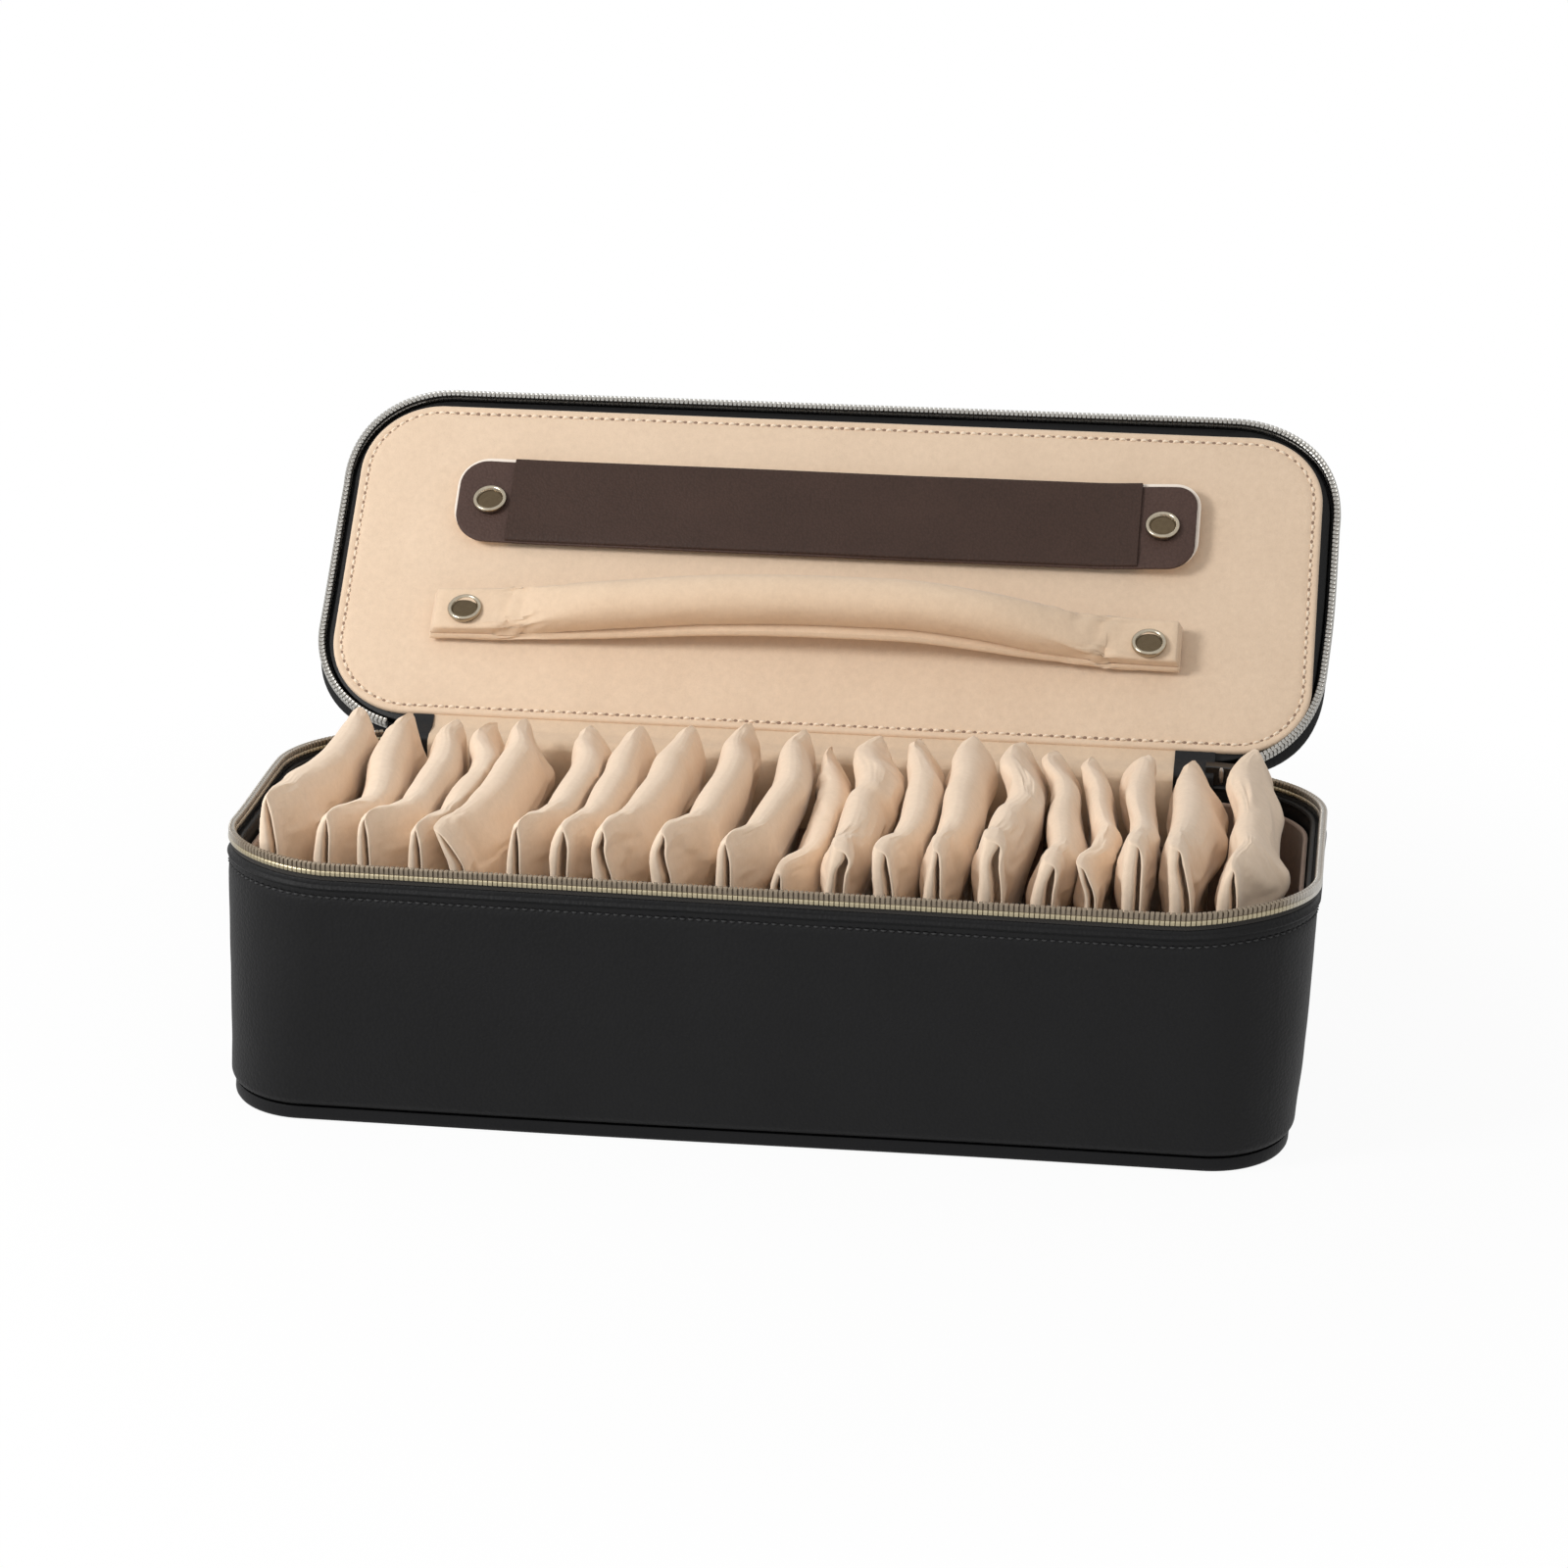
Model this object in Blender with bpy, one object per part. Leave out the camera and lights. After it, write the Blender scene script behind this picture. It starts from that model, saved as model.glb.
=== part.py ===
# Travel jewelry box: a soft rounded case with a zipped lid, a row of loose
# padded pouches, an earring strap and a ring roll, shown with its lid open.
# Metres, +Z up. The origin is the middle of the base's underside.
import math

import bmesh
import bpy
from mathutils import Matrix, Vector

for item in list(bpy.data.objects):
    bpy.data.objects.remove(item, do_unlink=True)

# Case
BODY_WIDTH = 0.3200
BODY_DEPTH = 0.1230
RIM_HEIGHT = 0.0782
RIM_CORNER_RADIUS = 0.0357
FOOT_CORNER_RADIUS = 0.0262
GAP = 0.0003
BASE_THICKNESS = 0.0045
BASE_INSET = 0.0015
BASE_EDGE_ROUND = 0.0016
WALL_THICKNESS = 0.0026
FLOOR_THICKNESS = 0.0025
WALL_FOOT_ROUND = 0.0040
WALL_BELLY = 0.0006
SEAM_DROP = 0.0110
SEAM_HEIGHT = 0.0012
SEAM_DEPTH = 0.0005
CORNER_STEPS = 8

# Lid
LID_OPEN_ANGLE = math.radians(136.3)
LID_THICKNESS = 0.0120
LID_TOP_BOARD = 0.0025
LID_EDGE_ROUND = 0.0062
LID_FACING_Z = 0.0021
LID_FACING_THICKNESS = 0.0010
PANEL_INSET = 0.0061
PANEL_THICKNESS = 0.0018
PADDING_EDGE_INSET = 0.0060
HINGE_STANDOFF = 0.0004

# Zip, measured from the meeting plane of the two halves
ZIP_BAND = 0.0050
TEETH_INSET = 0.0
TEETH_THICKNESS = 0.0020
TEETH_FOOT = 0.0033
TEETH_ROOT = 0.0016
TEETH_TIP = 0.0006
TEETH_PITCH = 0.0060
TOOTH_SHARE = 0.42
TAPE_INSET = 0.0009
TAPE_THICKNESS = 0.0010
TAPE_TOP = 0.0036
TAPE_FOOT = 0.0047
ZIP_LEAD = 0.0038
LEAD_ANGLE = math.radians(16.0)
STOP_LENGTH = 0.0022
STOP_RISE = 0.0016
STOP_START = 0.0004

# Lining
FACING_INSET = 0.0029
FACING_THICKNESS = 0.0012
FACING_HEIGHT = 0.0190
FACING_TOP_DROP = 0.0056
LINING_INSET = 0.0029
LINING_THICKNESS = 0.0013
LINING_FLOOR = 0.0015

# Spine and the beige strip that covers the hinge inside
SPINE_END_GAP = 0.0010
SPINE_TOP_DROP = 0.0016
STRIP_LEFT_MARGIN = 0.0059
STRIP_RIGHT_MARGIN = 0.0104
STRIP_INSET = 0.0044
STRIP_THICKNESS = 0.0010
STRIP_DROP = 0.0240
STRIP_FOLD_THICKNESS = 0.0011
STRIP_FOLD_GAP = 0.00015

# Slider and pull
SLIDER_ANGLE = math.radians(6.2)
SLIDER_HALF_ANGLE = math.radians(7.2)
SLIDER_PLATE = 0.0009
SLIDER_TOP_RISE = 0.0009
SLIDER_BRIDGE = 0.0010
SLIDER_FOOT_DROP = 0.0044
LUG_FOOT_DROP = 0.0078
LUG_HALF_WIDTH = 0.0024
LUG_EAR = 0.0009
LUG_REACH = 0.0028
PULL_PIVOT_DROP = 0.0062
PULL_PIN_RADIUS = 0.00045
PULL_EYE_BORE = 0.00075
PULL_EYE_RADIUS = 0.0012
PULL_THICKNESS = 0.0012
PULL_LENGTH = 0.0170
PULL_WIDTH = 0.0064
PULL_EYE_WIDTH = 0.0022
PULL_NECK = 0.0030
PULL_TIP_ROUND = 0.0022

# Earring strap: margins from the panel's ends, and its offset from the lid's middle
STRAP_LEFT_MARGIN = 0.0327
STRAP_RIGHT_MARGIN = 0.0371
STRAP_OFFSET = 0.0200
STRAP_WIDTH = 0.0312
STRAP_CORNER = 0.0080
STRAP_BACKING_THICKNESS = 0.0011
STRAP_FACE_THICKNESS = 0.0013
STRAP_BORDER = 0.0010
STRAP_SNAP_INSET = 0.0115
SLEEVE_LEFT_MARGIN = 0.0182
SLEEVE_RIGHT_MARGIN = 0.0188
SLEEVE_THICKNESS = 0.0008
SLEEVE_FOLD = 0.0006
SNAP_HOLE_RADIUS = 0.0022
SNAP_RADIUS = 0.0057
SNAP_HEIGHT = 0.0026
SNAP_RIM = 0.0006
SNAP_POST_RADIUS = 0.0017
SNAP_STUD_RADIUS = 0.0042
SNAP_STUD_BORE = 0.0023
STUD_THICKNESS = 0.0013

# Ring roll
ROLL_LEFT_MARGIN = 0.0317
ROLL_RIGHT_MARGIN = 0.0395
ROLL_OFFSET = 0.0214
ROLL_BOW = 0.0025
ROLL_END_WIDTH = 0.0152
ROLL_END_THICKNESS = 0.0026
ROLL_RADIUS = 0.0082
ROLL_MIDDLE_STAND = 0.0130
ROLL_FLAT_LENGTH = 0.0210
ROLL_SWELL_LENGTH = 0.0340
ROLL_SNAP_INSET = 0.0105

# Pouches
POUCH_FRONT_GAP = 0.0100
POUCH_BACK_GAP = 0.0112
POUCH_FLOOR_GAP = 0.0003
POUCH_SIDE_GAP = 0.0011
POUCH_WALL_GAP = 0.0012
POUCH_HALF_THICKNESS = 0.0083
POUCH_END_MARGIN = 0.0215
POUCH_MOUTH_DEPTH = 0.0130
POUCH_MOUTH_WIDTH = 0.0018
POUCH_MOUTH_CLOSED = 0.0005
POUCH_HALF_THINNEST = 0.0011

MATERIALS = {}


def material(name, colour, roughness, metallic=0.0):
    """One plain surface, made once and shared by name."""
    if name not in MATERIALS:
        made = bpy.data.materials.new(name)
        made.use_nodes = True
        surface = made.node_tree.nodes["Principled BSDF"]
        surface.inputs["Base Color"].default_value = (*colour, 1.0)
        surface.inputs["Roughness"].default_value = roughness
        surface.inputs["Metallic"].default_value = metallic
        MATERIALS[name] = made
    return MATERIALS[name]


LEATHER = ("black_leather", (0.018, 0.018, 0.020), 0.48)
BOARD = ("base_leather", (0.016, 0.016, 0.018), 0.55)
SUEDE = ("beige_suede", (0.76, 0.62, 0.47), 0.92)
LINING = ("lining_suede", (0.60, 0.47, 0.36), 0.94)
POUCH = ("pouch_suede", (0.80, 0.66, 0.50), 0.92)
STRAP = ("brown_leather", (0.060, 0.040, 0.036), 0.50)
GOLD = ("pale_gold", (0.62, 0.56, 0.36), 0.32, 1.0)
TAPE = ("zip_tape", (0.045, 0.040, 0.038), 0.80)
NICKEL = ("nickel", (0.66, 0.64, 0.60), 0.25, 1.0)
FOAM = ("padding_foam", (0.42, 0.40, 0.38), 0.95)


def empty(name, location, parent=None, turn=0.0):
    frame = bpy.data.objects.new(name, None)
    bpy.context.collection.objects.link(frame)
    frame.location = location
    frame.rotation_euler = (turn, 0.0, 0.0)
    frame.parent = parent
    return frame


def finish(name, mesh, look, parent, smooth=True):
    """Turns a bmesh into one named object with outward faces."""
    bmesh.ops.recalc_face_normals(mesh, faces=mesh.faces)
    data = bpy.data.meshes.new(name)
    mesh.to_mesh(data)
    mesh.free()
    made = bpy.data.objects.new(name, data)
    bpy.context.collection.objects.link(made)
    made.parent = parent
    data.materials.append(material(*look))
    if smooth:
        for polygon in data.polygons:
            polygon.use_smooth = True
    return made


def corner_radius(height):
    """The wall's plan corner, squarer at the foot than at the rim."""
    share = max(0.0, min(1.0, height / RIM_HEIGHT))
    return FOOT_CORNER_RADIUS + (RIM_CORNER_RADIUS - FOOT_CORNER_RADIUS) * share


def rounded(half_x, half_y, radius, height, steps=CORNER_STEPS):
    """A rounded rectangle at one height, from the right side's front."""
    loop = []
    quarters = ((1, -1, -90), (1, 1, 0), (-1, 1, 90), (-1, -1, 180))
    for side_x, side_y, start in quarters:
        centre_x = side_x * (half_x - radius)
        centre_y = side_y * (half_y - radius)
        for step in range(steps + 1):
            angle = math.radians(start + 90.0 * step / steps)
            x = centre_x + radius * math.cos(angle)
            y = centre_y + radius * math.sin(angle)
            loop.append((x, y, height))
    return loop


def wall_loop(inset, height, shift_y=0.0, radius=None, level=None):
    """The case's outline, drawn in by an inset."""
    corner = corner_radius(height) if radius is None else radius
    z = height if level is None else level
    half_x = BODY_WIDTH / 2 - inset
    half_y = BODY_DEPTH / 2 - inset
    return [(x, y + shift_y, z) for x, y, z in rounded(half_x, half_y, corner - inset, z)]


def add_loop(mesh, loop):
    return [mesh.verts.new(point) for point in loop]


def bridge(mesh, lower, upper):
    count = len(lower)
    for index in range(count):
        after = (index + 1) % count
        mesh.faces.new((lower[index], lower[after], upper[after], upper[index]))


def loft(name, loops, look, parent, closed=False, smooth=True):
    """A skin over rings of equal count, capped at both ends or closed."""
    mesh = bmesh.new()
    rings = [add_loop(mesh, loop) for loop in loops]
    for lower, upper in zip(rings, rings[1:]):
        bridge(mesh, lower, upper)
    if closed:
        bridge(mesh, rings[-1], rings[0])
    else:
        mesh.faces.new(rings[0][::-1])
        mesh.faces.new(rings[-1])
    return finish(name, mesh, look, parent, smooth)


def ring_body(name, inset, thickness, low, high, look, parent, shift_y=0.0, radius=None):
    """An upright ring that follows the case's outline."""
    outer, inner = inset, inset + thickness
    loops = [
        wall_loop(outer, low, shift_y, radius),
        wall_loop(outer, high, shift_y, radius),
        wall_loop(inner, high, shift_y, radius),
        wall_loop(inner, low, shift_y, radius),
    ]
    return loft(name, loops, look, parent, closed=True)


def slab(name, inset, low, high, look, parent, shift_y, edge=0.0):
    """A flat board cut to the case's outline, with softened edges."""
    def ring(more, level):
        return wall_loop(inset + more, RIM_HEIGHT, shift_y, None, level)

    loops = [ring(edge, low)]
    if edge:
        loops += [ring(0.0, low + edge), ring(0.0, high - edge)]
    loops.append(ring(edge, high))
    return loft(name, loops, look, parent)


def prism(name, outline, left, right, look, parent):
    """A side view, as depth and height, pushed through from left to right."""
    mesh = bmesh.new()
    ends = [add_loop(mesh, [(x, y, z) for y, z in outline]) for x in (left, right)]
    bridge(mesh, *ends)
    mesh.faces.new(ends[0][::-1])
    mesh.faces.new(ends[1])
    return finish(name, mesh, look, parent, smooth=False)


half_depth = BODY_DEPTH / 2
panel_half = BODY_WIDTH / 2 - PANEL_INSET
arc_centre_x = BODY_WIDTH / 2 - RIM_CORNER_RADIUS
arc_centre_y = half_depth - RIM_CORNER_RADIUS
zip_end_x = arc_centre_x - ZIP_LEAD
spine_half = zip_end_x - SPINE_END_GAP
strip_left = -arc_centre_x + STRIP_LEFT_MARGIN
strip_right = arc_centre_x - STRIP_RIGHT_MARGIN
strap_left = -panel_half + STRAP_LEFT_MARGIN
strap_right = panel_half - STRAP_RIGHT_MARGIN
roll_left = -panel_half + ROLL_LEFT_MARGIN
roll_right = panel_half - ROLL_RIGHT_MARGIN
pouch_first_x = -BODY_WIDTH / 2 + POUCH_END_MARGIN
shell_foot = BASE_THICKNESS + GAP
zip_seat = RIM_HEIGHT - ZIP_BAND
case = empty("case", (0.0, 0.0, 0.0))
hinge_y = half_depth + HINGE_STANDOFF
lid = empty("lid_hinge", (0.0, hinge_y, RIM_HEIGHT), case, -LID_OPEN_ANGLE)
lid_shift = -half_depth - HINGE_STANDOFF
strap_y = lid_shift - STRAP_OFFSET
roll_y = lid_shift + ROLL_OFFSET

# Base board
base_loops = [
    wall_loop(BASE_INSET + BASE_EDGE_ROUND, 0.0),
    wall_loop(BASE_INSET + BASE_EDGE_ROUND * 0.3, BASE_EDGE_ROUND * 0.3),
    wall_loop(BASE_INSET, BASE_EDGE_ROUND),
    wall_loop(BASE_INSET, BASE_THICKNESS),
]
loft("base_panel", base_loops, BOARD, case)

# Leather-covered shell, with a rounded foot and a folded seam under the rim
arc_shares = (0.0, 0.35, 0.7, 1.0)
shell = []
for share in arc_shares:
    angle = share * math.pi / 2
    inset = WALL_FOOT_ROUND * (1 - math.sin(angle))
    shell.append(wall_loop(inset, shell_foot + WALL_FOOT_ROUND * (1 - math.cos(angle))))
shell.append(wall_loop(-WALL_BELLY, RIM_HEIGHT * 0.5))
seam_high = zip_seat - SEAM_DROP / 2
seam_low = seam_high - SEAM_HEIGHT
shell.append(wall_loop(0.0, seam_low - SEAM_DEPTH))
shell.append(wall_loop(SEAM_DEPTH, seam_low))
shell.append(wall_loop(SEAM_DEPTH, seam_high))
shell.append(wall_loop(0.0, seam_high + SEAM_DEPTH))
shell.append(wall_loop(0.0, zip_seat))
shell.append(wall_loop(WALL_THICKNESS, zip_seat))
shell.append(wall_loop(WALL_THICKNESS, shell_foot + FLOOR_THICKNESS))
loft("body_shell", shell, LEATHER, case)

# Lining tray and the black facing above it
floor_low = shell_foot + FLOOR_THICKNESS + GAP
facing_low = RIM_HEIGHT - FACING_TOP_DROP - FACING_HEIGHT
lining_top = facing_low - GAP
lining_inner = LINING_INSET + LINING_THICKNESS
loft(
    "body_lining",
    [
        wall_loop(LINING_INSET, floor_low),
        wall_loop(LINING_INSET, lining_top),
        wall_loop(lining_inner, lining_top),
        wall_loop(lining_inner, floor_low + LINING_FLOOR),
    ],
    LINING,
    case,
)
facing_top = RIM_HEIGHT - FACING_TOP_DROP
ring_body("body_facing", FACING_INSET, FACING_THICKNESS, facing_low, facing_top, LEATHER, case)

# Zip: the path runs from the back, round a side, the front and the other side
def zip_path():
    """Corner-to-corner pieces of the outline: length, start, and how to go."""
    turn = RIM_CORNER_RADIUS * math.pi / 2
    return [
        ("line", arc_centre_x - zip_end_x, (zip_end_x, half_depth), 90.0),
        ("arc", turn, (arc_centre_x, arc_centre_y), 90.0),
        ("line", 2 * arc_centre_y, (BODY_WIDTH / 2, arc_centre_y), 0.0),
        ("arc", turn, (arc_centre_x, -arc_centre_y), 0.0),
        ("line", 2 * arc_centre_x, (arc_centre_x, -half_depth), -90.0),
        ("arc", turn, (-arc_centre_x, -arc_centre_y), -90.0),
        ("line", 2 * arc_centre_y, (-BODY_WIDTH / 2, -arc_centre_y), -180.0),
        ("arc", turn, (-arc_centre_x, arc_centre_y), -180.0),
        ("line", arc_centre_x - zip_end_x, (-arc_centre_x, half_depth), -270.0),
    ]


PATH = zip_path()
PATH_LENGTH = sum(piece[1] for piece in PATH)


def on_path(distance):
    """Point on the outline and its outward direction, clockwise from the back."""
    for kind, length, start, heading in PATH:
        if distance <= length or (kind, start) == (PATH[-1][0], PATH[-1][2]):
            break
        distance -= length
    angle = math.radians(heading)
    if kind == "arc":
        angle -= distance / RIM_CORNER_RADIUS
        out = Vector((math.cos(angle), math.sin(angle)))
        return Vector(start) + out * RIM_CORNER_RADIUS, out
    out = Vector((math.cos(angle), math.sin(angle)))
    along = Vector((out.y, -out.x))
    return Vector(start) + along * distance, out


def stations(first, last, phase):
    """Distances along the path, with a flag for a tooth after each one."""
    marks = [(first, False)]
    lead = arc_centre_x - zip_end_x + RIM_CORNER_RADIUS * LEAD_ANGLE
    count = int((PATH_LENGTH - 2 * lead) / TEETH_PITCH)
    pitch = (PATH_LENGTH - 2 * lead) / count
    step = RIM_CORNER_RADIUS * LEAD_ANGLE / 3
    for index in range(3):
        place = arc_centre_x - zip_end_x + step * index
        if place > first:
            marks.append((place, False))
    for index in range(count):
        start = lead + pitch * (index + phase)
        if start + pitch * TOOTH_SHARE > min(last, PATH_LENGTH - lead):
            break
        marks.append((start, True))
        marks.append((start + pitch * TOOTH_SHARE, False))
    for index in range(3):
        place = PATH_LENGTH - (arc_centre_x - zip_end_x) - step * (2 - index)
        if place < last:
            marks.append((place, False))
    marks.append((last, False))
    return marks


def comb(name, marks, level, side, parent, shift_y):
    """A run of zip teeth. side is 1 for teeth that point up, -1 for down."""
    mesh = bmesh.new()
    outer_inset, inner_inset = TEETH_INSET, TEETH_INSET + TEETH_THICKNESS
    foot = level - side * TEETH_FOOT
    root = level - side * TEETH_ROOT
    tip = level + side * TEETH_TIP
    rows = []
    for distance, _ in marks:
        point, out = on_path(distance)
        outer = point - out * outer_inset
        inner = point - out * inner_inset
        row = {}
        for key, z in (("foot", foot), ("root", root), ("tip", tip)):
            row["o" + key] = (outer.x, outer.y + shift_y, z)
            row["i" + key] = (inner.x, inner.y + shift_y, z)
        rows.append(row)
    made = [{} for _ in rows]

    def vert(index, key):
        if key not in made[index]:
            made[index][key] = mesh.verts.new(rows[index][key])
        return made[index][key]

    def quad(*corners):
        mesh.faces.new([vert(index, key) for index, key in corners])

    last = len(marks) - 1
    for index in range(last):
        after = index + 1
        quad((index, "ofoot"), (after, "ofoot"), (after, "oroot"), (index, "oroot"))
        quad((index, "ifoot"), (index, "iroot"), (after, "iroot"), (after, "ifoot"))
        quad((index, "ifoot"), (after, "ifoot"), (after, "ofoot"), (index, "ofoot"))
        if marks[index][1]:
            quad((index, "oroot"), (after, "oroot"), (after, "otip"), (index, "otip"))
            quad((index, "iroot"), (index, "itip"), (after, "itip"), (after, "iroot"))
            quad((index, "otip"), (after, "otip"), (after, "itip"), (index, "itip"))
            quad((index, "oroot"), (index, "otip"), (index, "itip"), (index, "iroot"))
            quad((after, "oroot"), (after, "iroot"), (after, "itip"), (after, "otip"))
        else:
            quad((index, "oroot"), (after, "oroot"), (after, "iroot"), (index, "iroot"))
    quad((0, "ofoot"), (0, "oroot"), (0, "iroot"), (0, "ifoot"))
    quad((last, "ofoot"), (last, "ifoot"), (last, "iroot"), (last, "oroot"))
    return finish(name, mesh, GOLD, parent, smooth=False)


def band(name, inset, thickness, low, high, first, last, look, parent, shift_y, pitch):
    """A plain strip of even section along the zip's path."""
    mesh = bmesh.new()
    breaks = [0.0]
    for piece in PATH:
        breaks.append(breaks[-1] + piece[1])
    marks = {first, last}
    for start, piece in zip(breaks, PATH):
        count = max(1, round(piece[1] / pitch)) if piece[0] == "arc" else 1
        for index in range(count + 1):
            place = start + piece[1] * index / count
            if first < place < last:
                marks.add(place)
    rings = []
    for distance in sorted(marks):
        point, out = on_path(distance)
        outer = point - out * inset
        inner = point - out * (inset + thickness)
        section = [
            (outer.x, outer.y + shift_y, low),
            (outer.x, outer.y + shift_y, high),
            (inner.x, inner.y + shift_y, high),
            (inner.x, inner.y + shift_y, low),
        ]
        if not rings or (Vector(section[0]) - rings[-1][0].co).length > GAP / 10:
            rings.append(add_loop(mesh, section))
    for lower, upper in zip(rings, rings[1:]):
        bridge(mesh, lower, upper)
    mesh.faces.new(rings[0][::-1])
    mesh.faces.new(rings[-1])
    return finish(name, mesh, look, parent, smooth=False)


def half_zip(word, level, side, parent, shift_y, phase, first):
    """One half of the zip: the woven tape's edge and its row of teeth."""
    last = PATH_LENGTH - first
    low, high = sorted((level - side * TAPE_TOP, level - side * TAPE_FOOT))
    band(
        f"zip_{word}_tape", TAPE_INSET, TAPE_THICKNESS, low, high,
        first, last, TAPE, parent, shift_y, TEETH_PITCH,
    )
    comb(f"zip_{word}_teeth", stations(first, last, phase), level, side, parent, shift_y)


half_zip("lower", RIM_HEIGHT, 1, case, 0.0, 0.0, 0.0)
upper_start = arc_centre_x - zip_end_x + RIM_CORNER_RADIUS * LEAD_ANGLE
half_zip("upper", 0.0, -1, lid, lid_shift, 0.5, upper_start)


def zip_stop(name, first, last):
    """A pinched metal stop on the lower row's lead."""
    return band(
        name, TEETH_INSET, TEETH_THICKNESS,
        RIM_HEIGHT - TEETH_ROOT + GAP, RIM_HEIGHT - TEETH_ROOT + GAP + STOP_RISE,
        first, last, NICKEL, case, 0.0, TEETH_PITCH,
    )


zip_stop("zip_stop_right", STOP_START, STOP_START + STOP_LENGTH)
zip_stop("zip_stop_left", PATH_LENGTH - STOP_START - STOP_LENGTH, PATH_LENGTH - STOP_START)

# Spine leather, one leaf on each side of the fold
spine_inner = half_depth - WALL_THICKNESS
prism(
    "spine_lower",
    [
        (spine_inner, zip_seat + GAP),
        (half_depth, zip_seat + GAP),
        (half_depth, RIM_HEIGHT - SPINE_TOP_DROP),
        (spine_inner, RIM_HEIGHT - SPINE_TOP_DROP),
    ],
    -spine_half, spine_half, LEATHER, case,
)
prism(
    "spine_upper",
    [
        (-WALL_THICKNESS - HINGE_STANDOFF, SPINE_TOP_DROP),
        (-HINGE_STANDOFF, SPINE_TOP_DROP),
        (-HINGE_STANDOFF, ZIP_BAND - GAP),
        (-WALL_THICKNESS - HINGE_STANDOFF, ZIP_BAND - GAP),
    ],
    -spine_half, spine_half, LEATHER, lid,
)

# Beige strip over the fold, one half on each side
strip_front = half_depth - STRIP_INSET - STRIP_THICKNESS
strip_back = half_depth - STRIP_INSET
fold_top = RIM_HEIGHT - STRIP_FOLD_GAP
fold_low = fold_top - STRIP_FOLD_THICKNESS
prism(
    "hinge_strip_lower",
    [
        (strip_front, RIM_HEIGHT - STRIP_DROP),
        (strip_back, RIM_HEIGHT - STRIP_DROP),
        (strip_back, fold_low),
        (half_depth - GAP, fold_low),
        (half_depth - GAP, fold_top),
        (strip_front, fold_top),
    ],
    strip_left, strip_right, SUEDE, case,
)
prism(
    "hinge_strip_upper",
    [
        (-PANEL_INSET - HINGE_STANDOFF + GAP, STRIP_FOLD_GAP),
        (-HINGE_STANDOFF - GAP, STRIP_FOLD_GAP),
        (-HINGE_STANDOFF - GAP, STRIP_FOLD_GAP + STRIP_FOLD_THICKNESS),
        (-PANEL_INSET - HINGE_STANDOFF + GAP, STRIP_FOLD_GAP + STRIP_FOLD_THICKNESS),
    ],
    strip_left, strip_right, SUEDE, lid,
)

# Lid shell, with its outer edge rounded over
lid_rings = [
    wall_loop(0.0, RIM_HEIGHT, lid_shift, None, ZIP_BAND),
    wall_loop(0.0, RIM_HEIGHT, lid_shift, None, LID_THICKNESS - LID_EDGE_ROUND),
]
for share in arc_shares[1:]:
    angle = share * math.pi / 2
    inset = LID_EDGE_ROUND * (1 - math.cos(angle))
    level = LID_THICKNESS - LID_EDGE_ROUND * (1 - math.sin(angle))
    lid_rings.append(wall_loop(inset, RIM_HEIGHT, lid_shift, None, level))
lid_rings.reverse()
lid_inner = LID_THICKNESS - LID_TOP_BOARD
lid_rings += [
    wall_loop(WALL_THICKNESS, RIM_HEIGHT, lid_shift, None, ZIP_BAND),
    wall_loop(WALL_THICKNESS, RIM_HEIGHT, lid_shift, None, LID_THICKNESS - LID_EDGE_ROUND),
    wall_loop(PADDING_EDGE_INSET - GAP, RIM_HEIGHT, lid_shift, None, lid_inner),
]
loft("lid_shell", lid_rings, LEATHER, lid)
facing_back = LID_FACING_Z + LID_FACING_THICKNESS
slab("lid_facing", FACING_INSET, LID_FACING_Z, facing_back, LEATHER, lid, lid_shift)
slab(
    "lid_padding", PADDING_EDGE_INSET, facing_back + GAP, lid_inner - GAP,
    FOAM, lid, lid_shift,
)
slab("lid_panel", PANEL_INSET, 0.0, PANEL_THICKNESS, SUEDE, lid, lid_shift, PANEL_THICKNESS / 4)


def holed_strip(name, left, right, centre_y, width, corner, low, high, holes, look, parent):
    """A strap with rounded corners and a round hole near each end."""
    steps, hole_steps = 5, 12
    outline = []
    corners = (
        (right - corner, centre_y - width / 2 + corner, -90),
        (right - corner, centre_y + width / 2 - corner, 0),
        (left + corner, centre_y + width / 2 - corner, 90),
        (left + corner, centre_y - width / 2 + corner, 180),
    )
    for x, y, start in corners:
        for step in range(steps + 1):
            angle = math.radians(start + 90.0 * step / steps)
            outline.append((x + corner * math.cos(angle), y + corner * math.sin(angle)))
    rings = [outline]
    for hole_x, hole_y, radius in holes:
        rings.append([
            (
                hole_x + radius * math.cos(math.tau * step / hole_steps),
                hole_y - radius * math.sin(math.tau * step / hole_steps),
            )
            for step in range(hole_steps)
        ])
    mesh = bmesh.new()
    levels = []
    for level in (low, high):
        levels.append([add_loop(mesh, [(x, y, level) for x, y in ring]) for ring in rings])
        edges = []
        for loop in levels[-1]:
            for index, vert in enumerate(loop):
                edges.append(mesh.edges.new((vert, loop[(index + 1) % len(loop)])))
        bmesh.ops.triangle_fill(mesh, edges=edges, use_beauty=True, use_dissolve=False)
    for lower, upper in zip(*levels):
        bridge(mesh, lower, upper)
    return finish(name, mesh, look, parent, smooth=False)


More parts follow.
